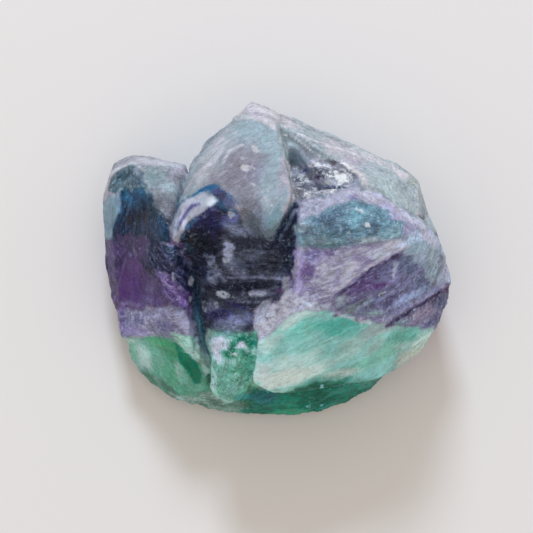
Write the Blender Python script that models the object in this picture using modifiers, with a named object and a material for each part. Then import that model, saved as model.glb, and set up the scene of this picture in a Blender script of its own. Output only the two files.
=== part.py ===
"""A rough chunk of rainbow fluorite, broken from a banded vein and lying on its flattest cleavage face.

It is one natural piece, so it is one closed solid. The chunk is put together from the lumps that the
cleavage left standing, each the convex hull of its own corners, and hollowed where wedges and shells
have spalled off. The surface is then broken into shallow flat-faced ledges.

Corners are in millimetres: +X to the right and +Y to the back, seen from above, and +Z up from the
face that the chunk rests on.
"""

import bmesh
import bpy
from mathutils import Matrix, Vector, noise

MM = 0.001

# Driving dimensions
WIDTH = 55.0
DEPTH = 50.0
HEIGHT = 38.0

# Surface grain, in millimetres
GRID = 0.36
ROUNDING = 4
SWELL_SIZE = 11.0
SWELL_DEPTH = 0.3
LEDGES = ((7.5, 0.3), (3.0, 0.14))
LEDGE_TILT = 1.4
FOOT_GUARD = 1.6
FOOT_TRIM = 0.12
TRIANGLES = 9400

CORE = (
    (-19, -13, 0), (-13, -19, 0), (6, -20, 0), (16, -14, 0), (20, -5, 0),
    (18, 6, 0), (9, 14, 0), (-4, 17, 0), (-16, 11, 0), (-21, 0, 0),
    (-24, 7, 11), (-24, -8, 10), (-20, -16, 7), (-12, -21, 5), (4, -22, 5),
    (14, -18, 7), (22, -10, 11), (24, 0, 13), (20, 9, 12), (8, 17, 11),
    (-4, 18, 12), (-19, 11, 12), (-16, 6, 20), (-14, -10, 18), (0, -11, 20),
    (16, -8, 20), (16, 6, 22), (6, 12, 22), (-6, 12, 22),
)

# The long slope behind the cleft
BACK = (
    (0.4, 23.2, 12), (5, 20.7, 12), (10, 18.6, 12), (15, 16.5, 12), (18.5, 15.1, 12),
    (20, 13.7, 12), (22.3, 12.5, 12), (23, 9.4, 12), (24, 6, 12),
    (0, 21.5, 17.5), (4.5, 18.4, 22), (8.5, 15.5, 26), (13.5, 12.6, 28.5), (10, 10.5, 31),
    (17, 9.3, 27), (21.5, 6.5, 22), (20.5, 11.5, 17),
    (7, 17, 2.5), (19, 11, 3), (2, 8, 10),
)

# The upper plate of the front lobe, which ends in a sharp front edge
LOBE_PLATE = (
    (4, 9.9, 32.4), (7, 10.4, 34), (9, 10.7, 33.5), (12.5, 10.7, 32.6),
    (16.5, 9.5, 30.2), (21.5, 6.3, 25.6), (24.8, 3.5, 20.5), (26.3, 1, 17), (2.9, 5.5, 33.2),
    (6.2, 5.5, 35.4), (2.9, -3.6, 35.4), (5.8, -3, 37.4), (5, -7.3, 36.8),
    (9, -5.2, 37.6), (14, -2.4, 36), (18.9, 0.9, 32.8), (22.3, 1.4, 28),
    (4, 8, 20), (4, -6, 20), (20, 3, 12),
)

# The face that falls away under that edge
LOBE_FACE = (
    (8, -5, 35.6), (18.6, 0.6, 31.2), (22.2, 1, 26.6), (24.8, -1.5, 21.8), (16.4, -9.4, 30.6),
    (20, -7.9, 27.6), (24, -5.6, 22.2), (27.3, -4.4, 16), (27.4, -2, 15.5), (26.4, 1, 16.6),
    (6, -7.4, 34), (20, -4, 10), (8, -6, 20),
)

# The pale green brow, which hangs over the front
BROW = (
    (5, -7.4, 35.8), (0.3, -10.8, 33.2), (-3, -12.6, 31.4), (-3.9, -19.3, 27), (-0.5, -20.9, 25),
    (2.5, -20.2, 25), (6, -19, 25), (12, -19.2, 22.4), (15.6, -18.8, 19.4), (17.2, -18, 17.5),
    (16.6, -9.8, 29.6), (20.2, -8.3, 26.2), (24, -6.2, 20.8), (27.4, -5, 14.6), (25.4, -10.5, 12.8),
    (23.3, -14.1, 11.5), (21, -16.3, 12), (0, -12, 12), (14, -11, 10), (20, -13, 8),
)

# The steep side under the lobe's right end
RIGHT_FLANK = (
    (23.9, 7, 13), (24, 4.5, 17), (26, 1.2, 17), (27, -4.4, 15.5), (25, -10.6, 12),
    (22.8, -14, 10.5), (22, 0, 23), (23, -5, 20), (14, -10, 14), (16, 6, 16),
    (20.4, -12.5, 0.8), (23.6, -6, 1.4), (24, 1, 1.8), (20.5, 8, 0.8),
)

# The blunt left shoulder, with its ridge between the striated face and the grey one
SHOULDER = (
    (-27.3, 10, 13), (-26.9, 1, 12), (-26.2, -5, 12), (-24.8, -12, 11),
    (-25.8, 15.3, 13), (-22.6, 16.9, 13), (-14, 14.9, 14),
    (-25.4, 13.5, 17.5), (-21.4, 14.9, 20.5), (-20.1, 11, 25.6), (-16.7, 4.3, 30),
    (-25.6, 8, 20), (-25, -3, 21), (-19.5, 1, 29.4), (-14.4, -1, 27.5),
    (-16.5, -7, 27.5), (-20.5, -9, 25), (-13.2, -10.5, 24.5), (-12.6, -15, 20.5),
    (-15.5, -12.5, 22.5), (-18, -11.9, 21.5), (-24.2, -12, 16.5),
    (-24.5, 9, 3.5), (-24, -5, 3), (-14, -12, 6), (-12, 6, 5),
)

# The central peak: one long pale face that climbs from the back to a sharp crest
PEAK = (
    (-3.9, 25.2, 13), (-5.9, 23.3, 13), (-10.6, 18.4, 14), (-13.2, 14.8, 16),
    (0.2, 23.3, 14), (-5, 20, 20.5), (0.1, 20.4, 22), (0.9, 15, 30), (1.9, 11.5, 35),
    (2.1, 9, 37.8), (0.9, 6.2, 38.4), (-1, 4, 38.2), (-6.5, 9.2, 34), (-10, 8.6, 31.6),
    (-12, 12.2, 25.5), (-14.6, 8, 27), (-13.2, 6.6, 29), (-15, 3.4, 28), (-13.8, 0.4, 26.5),
    (1.6, 18, 20), (2.4, 12, 24), (2, 9, 27), (0.8, 4.6, 27),
    (-12.5, 1.5, 25), (-8, 0.5, 26.5), (-2, 0.5, 28),
    (-9, 15, 5), (0, 18, 4), (2, 2, 10), (-13, 2, 10),
)

# The mass below the dark hollow, between shoulder and lobe
MIDDLE = (
    (-12, 1, 26), (-11.6, -6, 24.5), (-10.8, -12.5, 22), (-9.5, -11, 25.4), (-3, -8.6, 30),
    (0.5, -5.5, 31), (3.2, -3, 30.5), (3.2, 5, 29), (-3, 4, 28.5), (-9, 3, 27), (-3, -13, 27.5),
    (-10.5, -17.5, 18), (-3, -17, 20), (-13.4, 1, 22), (-13.4, -7, 20.5), (-12.6, -14, 18),
    (-12, -18, 14.5),
    (-12.5, 2, 6), (-11.5, -12, 5), (2, -10, 6), (4, 6, 8),
)

# The pale crest between the middle and the brow
CREST = (
    (-3.2, -9.6, 32.4), (-1, -6.6, 34.6), (1.6, -4.4, 35.2), (4, -4.5, 36), (5.4, -7.6, 35.8),
    (1, -11, 33), (-2.8, -12.2, 31.6), (-2.6, -8, 26), (3, -4, 26), (3, -10, 26), (-2, -12, 26),
)

# The rounded nub that hangs over the front
TONGUE = (
    (-10.1, -12, 25.5), (-10.4, -19, 21.5), (-9.6, -21.6, 20), (-8, -22.6, 19.6),
    (-6, -22.3, 19.6), (-4.6, -20.6, 21), (-3, -17, 24), (-3, -13, 28.5),
    (-8.5, -11, 28.5), (-6.5, -15, 28.8), (-7, -20, 26.4), (-9, -15, 10), (-4, -15, 10),
)

LEFT_FOOTING = (
    (-24.6, -12.2, 10), (-23.7, -14, 8), (-22.6, -16.7, 6.5), (-20, -20, 5),
    (-17, -22.2, 5), (-13, -23.4, 5), (-18, -11.6, 18.5), (-24, -12, 13.5),
    (-12.2, -14.8, 18.5), (-10.8, -18.5, 15.5), (-11.8, -20.5, 12.5), (-10, -22, 9.5),
    (-21, -13, 1.5), (-9, -18, 1.5),
)

FRONT_FOOTING = (
    (-17, -22.2, 4.6), (-10, -23.9, 4.2), (-5, -24.1, 4.2), (0, -24.6, 4.2),
    (3.5, -25.2, 4.6), (6, -24.8, 4.6), (9, -23.2, 4.6), (12, -22.2, 5), (15, -20.6, 5.5),
    (17.4, -18.4, 7), (-10, -20.5, 11), (-4, -21.5, 10.5), (2, -21.5, 10),
    (8, -20.5, 10), (15.4, -17.6, 10.5), (-12, -20.5, 0), (0, -21.5, 0), (10, -19, 0), (15, -16, 0),
    (-8, -14, 12), (10, -12, 12),
)

# Wedges that have broken out along the cleavage
CLEFT = (
    (-4, 22, 45), (-2, 9.4, 45), (9.6, 10.4, 45), (13.6, 12.3, 45), (9.6, 15.9, 45), (3.4, 19.6, 45),
    (-3, 21.2, 16), (-1, 12, 26), (3.5, 10.2, 29.4), (9.4, 10.7, 29.8), (12.4, 12.3, 27.6),
    (8.8, 15.2, 25.2), (3, 19, 20.7),
)
GULLY = (
    (0, 10.5, 45), (4.4, 10, 45), (3, 5, 45), (2.9, -4, 45), (-1, 2, 45),
    (0, 10.5, 27), (3.4, 9.6, 27), (2.6, 4, 28), (2.4, -3.4, 32), (-2, 1, 28.5),
)

# The rubble that is left in the gully, between the peak and the lobe
SEAM = (
    (0.4, 11, 32), (4.6, 10.4, 31.4), (-0.6, 4, 31.2), (3.8, 4.4, 32.2), (3.2, -3.2, 31.6), (0.6, -1, 30.4),
    (0, 11, 20), (4.6, 11, 20), (-0.6, 0, 20), (3.4, -3, 20),
)

# How the heights fall away from the peak: a fall's start and end in plan, and the share kept past its end
FALLS = (((0, 6), (0, -6), 0.76), ((-15, 0), (-24, 0), 0.66))

# Shells that have spalled off: centre and half-widths of each rounded scoop
HOLLOW = ((-7.6, 1.4, 35.5), (6.9, 6.9, 9.4))
LOWER_HOLLOW = ((-6.2, -4.6, 37), (6.2, 6.6, 9.8))

# The order in which the lumps stand against each other and the breaks cut them
STEPS = (
    ("back", "UNION", BACK),
    ("lobe_face", "UNION", LOBE_FACE),
    ("lobe_plate", "UNION", LOBE_PLATE),
    ("brow", "UNION", BROW),
    ("right_flank", "UNION", RIGHT_FLANK),
    ("shoulder", "UNION", SHOULDER),
    ("middle", "UNION", MIDDLE),
    ("cleft", "DIFFERENCE", CLEFT),
    ("gully", "DIFFERENCE", GULLY),
    ("crest", "UNION", CREST),
    ("seam", "UNION", SEAM),
    ("peak", "UNION", PEAK),
    ("tongue", "UNION", TONGUE),
    ("left_footing", "UNION", LEFT_FOOTING),
    ("front_footing", "UNION", FRONT_FOOTING),
)
SPALLS = (("hollow", HOLLOW), ("lower_hollow", LOWER_HOLLOW))


def collection(name):
    made = bpy.data.collections.new(name)
    bpy.context.scene.collection.children.link(made)
    return made


def placed(name, shape, home):
    """The shape as an object of its own in the given collection."""
    mesh = bpy.data.meshes.new(name)
    shape.to_mesh(mesh)
    shape.free()
    made = bpy.data.objects.new(name, mesh)
    home.objects.link(made)
    return made


def hull(name, corners, home):
    """The convex hull of the corners, as an object."""
    shape = bmesh.new()
    for corner in corners:
        shape.verts.new(Vector(corner) * MM)
    bmesh.ops.convex_hull(shape, input=shape.verts)
    inner = [vert for vert in shape.verts if not vert.link_faces]
    bmesh.ops.delete(shape, geom=inner, context="VERTS")
    bmesh.ops.recalc_face_normals(shape, faces=shape.faces)
    return placed(name, shape, home)


def scoop(name, centre, halves, home):
    """A rounded cutter with shallow flats, as a shell of fluorite breaks away."""
    shape = bmesh.new()
    bmesh.ops.create_icosphere(shape, subdivisions=2, radius=1)
    bmesh.ops.scale(shape, vec=Vector(halves) * MM, verts=shape.verts)
    bmesh.ops.translate(shape, vec=Vector(centre) * MM, verts=shape.verts)
    return placed(name, shape, home)


def boolean(target, other, operation):
    """Joins the helper to the target or cuts it away, and keeps the helper out of renders."""
    other.hide_render = True
    other.display_type = "WIRE"
    step = target.modifiers.new(other.name, "BOOLEAN")
    step.solver = "EXACT"
    step.operation = operation
    step.object = other


def bake(obj):
    """Applies the object's modifiers."""
    bpy.context.view_layer.update()
    graph = bpy.context.evaluated_depsgraph_get()
    mesh = bpy.data.meshes.new_from_object(obj.evaluated_get(graph))
    obj.modifiers.clear()
    obj.data = mesh


def kept_height(point):
    """The share of its height that a point keeps, so that the front and the left stand lower than the peak."""
    kept = 1.0
    for start, end, share in FALLS:
        start = Vector(start) * MM
        way = Vector(end) * MM - start
        along = min(1.0, max(0.0, (point.xy - start).dot(way) / way.length_squared))
        kept *= 1.0 - (1.0 - share) * along * along * (3.0 - 2.0 * along)
    return kept


def lower(mesh):
    """Lets the surface fall away from the peak."""
    for vert in mesh.vertices:
        vert.co.z *= kept_height(vert.co)


def ledge_height(point, size):
    """Height of the flat-faced ledges at a point: each cell of the break is its own tilted flat."""
    spot = point / (size * MM)
    _, cells = noise.voronoi(spot)
    home = cells[0]
    tilt = noise.noise_vector(home * 7.3)
    lift = noise.noise(home * 3.1)
    return lift + LEDGE_TILT * tilt.dot(spot - home)


def roughen(mesh):
    """Swells the surface gently and breaks it into ledges, sparing the face that it rests on."""
    moved = []
    for vert in mesh.vertices:
        point = vert.co.copy()
        shift = SWELL_DEPTH * noise.noise(point / (SWELL_SIZE * MM))
        for size, depth in LEDGES:
            shift += depth * ledge_height(point, size)
        spare = min(1.0, max(0.0, point.z / MM / FOOT_GUARD))
        moved.append(point + vert.normal * shift * spare * MM)
    for vert, place in zip(mesh.vertices, moved):
        vert.co = place


def level_foot(mesh):
    """Trims the underside to one exact flat."""
    shape = bmesh.new()
    shape.from_mesh(mesh)
    whole = shape.verts[:] + shape.edges[:] + shape.faces[:]
    level = Vector((0, 0, FOOT_TRIM * MM))
    cut = bmesh.ops.bisect_plane(shape, geom=whole, plane_co=level, plane_no=(0, 0, -1), clear_outer=True)
    rim = [item for item in cut["geom_cut"] if isinstance(item, bmesh.types.BMEdge)]
    bmesh.ops.edgenet_fill(shape, edges=rim)
    bmesh.ops.triangulate(shape, faces=shape.faces)
    bmesh.ops.recalc_face_normals(shape, faces=shape.faces)
    shape.to_mesh(mesh)
    shape.free()


def fit(mesh):
    """Brings the mesh to the driving dimensions, centred over the origin with its foot at zero."""
    low = Vector(min(vert.co[axis] for vert in mesh.vertices) for axis in range(3))
    high = Vector(max(vert.co[axis] for vert in mesh.vertices) for axis in range(3))
    middle = Vector(((low.x + high.x) / 2, (low.y + high.y) / 2, low.z))
    size = Vector((WIDTH, DEPTH, HEIGHT)) * MM
    ratio = [size[axis] / (high[axis] - low[axis]) for axis in range(3)]
    mesh.transform(Matrix.Diagonal((*ratio, 1)) @ Matrix.Translation(-middle))


def fluorite_material():
    made = bpy.data.materials.new("fluorite")
    made.use_nodes = True
    shader = made.node_tree.nodes["Principled BSDF"]
    shader.inputs["Base Color"].default_value = (0.2, 0.3, 0.36, 1)
    shader.inputs["Roughness"].default_value = 0.3
    shader.inputs["Metallic"].default_value = 0
    shader.inputs["Transmission Weight"].default_value = 0.6
    shader.inputs["IOR"].default_value = 1.434
    return made


def build():
    for old in list(bpy.data.objects):
        bpy.data.objects.remove(old)
    stone = collection("fluorite_chunk")
    helpers = collection("lumps_and_breaks")

    chunk = hull("fluorite", CORE, stone)
    for name, operation, corners in STEPS:
        boolean(chunk, hull(name, corners, helpers), operation)
    for name, (centre, halves) in SPALLS:
        boolean(chunk, scoop(name, centre, halves, helpers), "DIFFERENCE")
    grain = chunk.modifiers.new("grain", "REMESH")
    grain.mode = "VOXEL"
    grain.voxel_size = GRID * MM
    worn = chunk.modifiers.new("worn", "SMOOTH")
    worn.factor = 0.5
    worn.iterations = ROUNDING
    bake(chunk)

    lower(chunk.data)
    roughen(chunk.data)
    thin = chunk.modifiers.new("thin", "DECIMATE")
    thin.ratio = TRIANGLES / (2 * len(chunk.data.polygons))
    bake(chunk)
    level_foot(chunk.data)
    fit(chunk.data)
    chunk.data.materials.clear()
    chunk.data.materials.append(fluorite_material())


build()
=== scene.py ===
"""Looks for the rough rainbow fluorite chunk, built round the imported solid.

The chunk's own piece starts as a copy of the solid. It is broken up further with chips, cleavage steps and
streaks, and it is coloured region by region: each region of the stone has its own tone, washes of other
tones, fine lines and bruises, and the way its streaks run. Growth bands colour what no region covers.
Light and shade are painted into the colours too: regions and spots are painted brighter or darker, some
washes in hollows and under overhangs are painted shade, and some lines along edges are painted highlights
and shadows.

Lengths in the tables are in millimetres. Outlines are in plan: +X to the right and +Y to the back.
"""

import itertools
import math
from collections import namedtuple

import bmesh
import bpy
import numpy as np
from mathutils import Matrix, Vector


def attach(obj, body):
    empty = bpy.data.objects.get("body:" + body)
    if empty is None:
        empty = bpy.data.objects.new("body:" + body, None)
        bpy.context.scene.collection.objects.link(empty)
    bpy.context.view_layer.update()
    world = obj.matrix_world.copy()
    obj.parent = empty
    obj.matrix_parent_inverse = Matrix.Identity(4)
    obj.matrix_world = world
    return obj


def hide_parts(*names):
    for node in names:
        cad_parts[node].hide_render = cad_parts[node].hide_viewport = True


MM = 0.001

# Framing of the photograph
PICTURE_CENTRE = (-1.49, -1.02)
PICTURE_WIDTH = 83.5
OUTLINE_LEVEL = 15.0
CAMERA_HEIGHT = 500.0
SENSOR = 36.0
CLIP_START = 10.0

# Surface of the piece: the size of its small faces, how far they are smoothed, and the flat foot
VOXEL = 0.35
MERGE_REACH = 0.001
SOFTENING = 0.5
ROUNDING = 3
FOOT_HEIGHTS = (0.3, 1.5)
UPWARD = (0.0, 0.35)
NORMAL_ROUNDS = 4

# Noise: cells to a side before it repeats, and the seed of each field
LATTICE = 64
CELL_MARGIN = 0.1
SEEDS = {
    "chipped": 30,
    "patches": 40,
    "facets": 50,
    "chips": 60,
    "cleavage": 70,
    "steps": 80,
    "combs": 90,
    "grit": 100,
    "wander x": 110,
    "wander y": 120,
    "lines": 130,
    "tones": 140,
    "haze": 150,
    "borders": 1000,
}
SEED_STEP = 10

# Facets, chips and grit: depth and size
FACET_DEPTH = 0.1
FACET_SIZE = 3.6
CHIP_DEPTH = 0.07
CHIP_SIZE = 1.6
GRIT_DEPTH = 0.05
GRIT_SIZE = 1.0
# Chipped edges: depth, smoothing rounds, how far an edge stands out, and the patches that are chipped
EDGE_CHIP = 0.1
EDGE_ROUNDS = 12
EDGE_BULGE = (0.05, 0.2)
CHIPPED_SIZE = 1.8
CHIPPED_SHARE = (-0.1, 0.5)
# Cleavage: its four directions, and the depth, step, sway and patches of its treads and risers
CLEAVAGE = np.array(((0.16, 0.21, 0.96), (-0.93, 0.12, 0.34), (0.34, -0.86, 0.38), (0.43, 0.79, 0.43)))
CLEAVAGE_DEPTH = 0.5
CLEAVAGE_STEP = 0.6
CLEAVAGE_SWAY = 0.5
CLEAVAGE_SWAY_SIZE = 6.0
CLEAVAGE_OFFSET = 0.37
CLEAVAGE_FACING = (0.72, 0.86)
RISER_START = 0.62
TREAD_LEVEL = 0.31
PATCH_SIZE = 7.0
PATCH_SHARE = (-0.5, 0.5)
# Steps and combs along the streaks: depth, width and sway
SAW_RISE = 0.75
STEP_DEPTH = 0.26
STEP_WIDTH = 1.7
STEP_HEIGHT = 2.3
STEP_SWAY = 0.7
STEP_SWAY_SIZE = 5.0
COMB_DEPTH = 0.12
COMB_WIDTH = 1.0
COMB_SWAY = 0.5
COMB_SWAY_SIZE = 1.4
COMB_STRETCH = (3.0, 1.0, 1.0)
ROUGH_LEAST = 0.25
# Ledges: the half width of a drop, and how far its line wanders
LEDGE_EDGE = 0.25
LEDGE_WANDER = 0.12

# Paint: how far a region's border may lie from its outline, and how borders, washes and lines spread
REACH = 3.0
WANDER_SIZE = 2.6
FRAY_SIZE = 0.8
FRAY_GAIN = 1.8
FRAY_STRETCH = (0.25, 0.4)
BORDER_WANDER = 0.3
STREAK_WANDER = 0.3
WASH_EDGE = 0.5
FACING = (-0.4, 0.15)
FACING_WANDER = 0.15
LOW_WANDER = 1.5
LOW_FADE = 1.5
LINE_SPREAD = 0.2
LINE_WANDER = 0.1
LINE_DEPTH = (0.0, 0.7)
LINE_GAPS = (-0.7, 0.1)
LINE_GAP_SIZE = 1.3
BRUISE_WANDER = 0.14
BRUISE_EDGE = (-0.35, 0.45)
HAZE = 0.5
HAZE_SIZE = 6.0
HAZE_SHARE = (0.0, 1.0)

# Growth bands: their planes lean back, and run a little askew from left to right
BAND_LEAN = 0.19
BAND_TOP = 32.0
BAND_SKEW = 0.12
# Tone, where the band starts, and how soft its start is
BANDS = (
    ("moss green", -60.0, 1.0),
    ("aqua", -13.5, 2.0),
    ("pale lavender", -9.5, 0.8),
    ("violet", -7.0, 1.2),
    ("navy", 3.6, 0.8),
    ("teal", 7.2, 1.4),
    ("mist blue", 10.5, 1.6),
    ("pale blue", 15.0, 1.0),
)

# Light and surround
FLOOR_HALF = 1500.0
FLOOR_TONE = (225, 225, 226)
FLOOR_ROUGHNESS = 0.8
SURROUND_TONE = (1.0, 0.9, 0.815)
SIDE_GLOW = 0.66
OVERHEAD_GLOW = 0.88
OVERHEAD = (0.6, 0.95)
# Name, direction, distance, width, height, power and colour
LIGHTS = (("window", (-0.08, 0.81, 0.57), 1200.0, 260.0, 180.0, 9.4, (0.76, 0.865, 1.0)),)

# Tones of the stone as they show in soft light, as screen values from 0 to 255
TONES = {
    "frost": (210, 214, 230),
    "white lilac": (200, 197, 212),
    "pale lavender": (176, 173, 192),
    "lavender grey": (150, 148, 165),
    "warm grey": (144, 144, 157),
    "silver": (190, 195, 204),
    "lagoon": (104, 138, 155),
    "deep lagoon": (74, 100, 122),
    "bright lagoon": (124, 172, 187),
    "mist grey": (140, 151, 163),
    "slate": (118, 120, 136),
    "slate lilac": (116, 114, 144),
    "dark slate": (84, 86, 100),
    "steel": (104, 118, 129),
    "charcoal": (42, 44, 56),
    "night": (8, 13, 30),
    "ice blue": (164, 190, 203),
    "pale blue": (160, 180, 194),
    "mist blue": (138, 158, 176),
    "blue grey": (108, 128, 156),
    "blue lavender": (138, 140, 186),
    "sage blue": (128, 154, 165),
    "light teal": (120, 160, 175),
    "mid teal": (82, 124, 148),
    "teal": (58, 110, 134),
    "deep teal": (46, 84, 108),
    "dark teal": (28, 56, 74),
    "teal grey": (90, 114, 125),
    "peacock": (20, 92, 138),
    "navy": (28, 38, 72),
    "night violet": (32, 28, 64),
    "indigo": (78, 72, 138),
    "indigo grey": (84, 86, 122),
    "dusk violet": (76, 68, 106),
    "dusky violet": (98, 88, 128),
    "dusty violet": (112, 92, 142),
    "violet": (88, 62, 116),
    "magenta": (100, 62, 130),
    "bright magenta": (110, 68, 142),
    "deep magenta": (82, 42, 110),
    "deep violet": (56, 40, 86),
    "lilac": (158, 146, 184),
    "mauve": (144, 134, 172),
    "orchid": (122, 88, 148),
    "plum grey": (122, 106, 134),
    "rose grey": (152, 124, 148),
    "white aqua": (190, 212, 208),
    "pale aqua": (168, 206, 199),
    "aqua": (126, 190, 180),
    "turquoise": (76, 168, 152),
    "sage grey": (140, 164, 162),
    "sage aqua": (138, 176, 166),
    "sage": (110, 140, 145),
    "sea green": (88, 166, 142),
    "jade": (106, 172, 150),
    "pale jade": (114, 172, 144),
    "fern": (88, 156, 124),
    "spring leaf": (80, 164, 114),
    "leaf green": (58, 146, 98),
    "glass green": (14, 116, 88),
    "bottle green": (32, 92, 74),
    "deep bottle": (22, 76, 60),
    "bottle light": (46, 110, 92),
    "blue green": (56, 98, 102),
    "moss": (68, 116, 92),
    "moss green": (78, 136, 108),
    "grey moss": (74, 114, 100),
    "grey moss light": (90, 124, 110),
    "sea slate": (62, 100, 106),
    "green grey": (128, 153, 141),
    "pale green": (170, 192, 180),
    "grey green": (146, 160, 158),
    "stone grey": (176, 182, 168),
    "cream": (202, 214, 200),
    "mint cream": (208, 232, 221),
    "warm lilac": (174, 166, 180),
    "glade": (76, 150, 134),
}
TONE_GAIN = (1.14, 1.27, 1.4)
BRIGHTEST = 0.96
DARKEST = 0.0032
TONE_DRIFT = 0.07
TONE_DRIFT_SIZE = 3.4
# Heights over which the painted light and shade spots, and the pale worn edges, come in above the foot
GLOW_HEIGHTS = (4.0, 8.0)
WORN_BULGE = 0.12
WORN_ROUNDS = 4
PALE_TONE = (214, 215, 222)
# Where no region lies: painted light and shade for each colour, and the bare stone's traits
BARE_PAINTED_LIGHT = (0.85, 0.76, 0.7)
BARE = {"rough": 0.3, "streaked": 0.4, "mottled": 0.5, "frosted": 0.35}
# How screen values turn into amounts of light
SCREEN_WHITE = 255.0
SCREEN_TOE = 0.04045
SCREEN_SLOPE = 12.92
SCREEN_OFFSET = 0.055
SCREEN_POWER = 2.4

# Stone: how clear and how glossy it is
SEE_THROUGH = 0.12
REFRACTION = 1.434
GLOSS = 0.15
ROUGHNESS = 0.26
ROUGHNESS_SHARES = {"mottle": 0.2, "frosted": 0.2, "bruise": 0.25}
# Even noises in the stone: scale, detail, roughness and distortion
EVEN_NOISES = {
    "drift": (0.3, 3.0, 0.55, 0.4),
    "mottle": (1.2, 4.0, 0.6, 0.5),
    "grit": (3.2, 3.0, 0.6, 0.0),
    "flakes": (0.85, 3.0, 0.65, 0.9),
}
# Noises along the streaks: how far they are drawn out, scale, detail, roughness and distortion
DRAWN_NOISES = {
    "streak": (0.22, 1.3, 4.0, 0.6, 0.4),
    "hair": (0.15, 3.2, 3.0, 0.6, 0.2),
    "wisp": (0.35, 0.9, 3.0, 0.55, 0.7),
}
NOISE_RANGE = (0.28, 0.72)
# Unevenness of the tone: shares of the noises in its lightness, and the drift of its hue and saturation
LINE_SHARES = {"streak": 0.75, "hair": 0.75}
SPOT_SHARES = {"mottle": 0.75, "grit": 0.4}
HUE_KEPT = 0.5
HUE_DRIFT = 0.015
SATURATION_DRIFT = 0.25
# Pale marks: what each is mixed from, where it starts and is whole, and how strong it is
FLECK_SHARES = {"hair": 1.0, "streak": 0.8, "mottle": 0.8, "grit": 0.5, "frosted": 0.9}
FLECK_RANGE = (1.05, 1.4)
FLECK_STRENGTH = 0.55
SUGAR_SHARES = {"mottle": 1.0, "grit": 0.7, "streak": 0.5}
SUGAR_RANGE = (0.0, 0.75)
SUGAR_STRENGTH = 0.6
VEIN_WIDTH = 0.05
VEIN_STRENGTH = 0.4
VEIN_LEAST = 0.2
VEIN_GAPS = (-0.1, 0.3)
FLAKE_RANGE = (0.3, 0.38)
FLAKE_STRENGTH = 0.6
FLAKE_FROST = (0.2, 0.8)
EDGE_SHARES = {"worn": 1.0, "grit": 1.2}
EDGE_RANGE = (0.5, 1.7)
EDGE_STRENGTH = 0.55
EDGE_LEAST = 0.35
BRUISE_SHARES = {"grit": 0.5, "mottle": 0.9}
BRUISE_RANGE = (0.15, 0.9)
BRUISE_STRENGTH = 0.88
# Bump
LUMP_SHARES = {"fibre": 0.9, "grain": 0.7, "mottle": 0.4}
BUMP_STRENGTH = 0.6
BUMP_DEPTH = 0.2

# Plan outlines of the regions
BACK_SLOPE = (
    (0.3, 20.8), (2.8, 19), (6.4, 16.3), (8.4, 15.3), (10.2, 15.5), (12.2, 13), (13.4, 10.6), (16.4, 9.6),
    (21, 6.6), (24.8, 4), (30, 4), (28, 18), (14, 24), (1, 30),
)
RECESS = (
    (0.3, 20.8), (2.8, 18.9), (6.4, 16.2), (8.4, 15.2), (10.2, 15.4), (12, 13.2), (11.2, 11.2), (8.4, 9.9),
    (5.8, 9.5), (3.6, 8.7), (2.2, 8.6), (2.2, 11.2), (1.9, 13.9), (1.2, 15.5), (0.5, 17.5),
)
RECESS_WALL = ((0.3, 20.8), (2.8, 18.9), (6.4, 16.2), (4.6, 14.8), (1.9, 14.8), (1.1, 15.6), (0.5, 17.5))
SHOULDER_LIP = (
    (-28.5, 9), (-26.6, 9.4), (-26.1, 12.8), (-25, 14.1), (-22.5, 15.1), (-18.7, 15), (-13.3, 14.5),
    (-12.8, 18), (-28.5, 19),
)
SHOULDER_CAP = (
    (-26.4, 13), (-25.2, 14.3), (-22.5, 15.3), (-20.9, 13.5), (-20, 11.7), (-20.3, 10.6), (-21.6, 11.1),
    (-23.6, 11), (-24.5, 10.5), (-26.3, 10.8),
)
SHOULDER_SIDE = (
    (-28.5, 11), (-26, 11.4), (-24.4, 10.4), (-24.6, 8), (-25.2, 5.8), (-25.6, 3.4), (-28.5, 2.6),
)
SHOULDER_INK = (
    (-24.5, 10.5), (-23.2, 11.1), (-20.9, 11.2), (-19.4, 9.6), (-18.2, 7.9), (-16.7, 5.8), (-16.2, 4.2),
    (-16.4, 2.8), (-18, 2.2), (-20, 3.4), (-23.2, 3.6), (-25.8, 3.2), (-25.2, 5.8), (-24.7, 8.3),
)
GREY_FACET = (
    (-22.5, 15.2), (-18.6, 15.1), (-13.3, 14.6), (-14.1, 11.7), (-15.2, 8.3), (-15.9, 5.6), (-18.2, 8.1),
    (-20, 11.2),
)
SHOULDER_VIOLET = (
    (-28, 3.2), (-25.4, 3.4), (-23.2, 3.9), (-21, 3.6), (-19.4, 1.8), (-17.4, 0.4), (-14.8, -2.2),
    (-12.8, -4.8), (-12.7, -8.8), (-15.6, -7.2), (-19, -7.8), (-25, -7.6), (-28, -7.4),
)
VIOLET_FACET = (
    (-23.9, 0.2), (-21.6, 0.4), (-20, -3.2), (-20.9, -6.1), (-22.5, -6.6), (-25.4, -5.4), (-24.5, -2),
)
STREAKED_VIOLET = (
    (-18.9, -1.6), (-17.6, -1.5), (-15.4, -3), (-13, -5), (-12.8, -8.4), (-15, -7.6), (-17.2, -5.4),
)
SHOULDER_NAVY = (
    (-19.8, 2.5), (-17.8, 2.7), (-15.1, 2.2), (-14.2, 0.9), (-13.1, -1.1), (-12.9, -5), (-14.4, -4.2),
    (-16.2, -2.3), (-18.4, -1.5), (-20.6, -0.6),
)
SHOULDER_SHELF = (
    (-28, -7.4), (-25, -7.8), (-19, -7.6), (-15.6, -7), (-12.7, -9), (-12.1, -12.8), (-12.1, -15.7),
    (-13.7, -14.9), (-15.1, -13.5), (-16.4, -12.3), (-18.2, -11.7), (-20, -12), (-22.2, -12.4), (-28, -12),
)
SHELF_RIDGE = ((-16.6, -11.2), (-14.4, -11.8), (-12.5, -12), (-11.5, -16), (-13.4, -15.4), (-15.4, -13.4))
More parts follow.
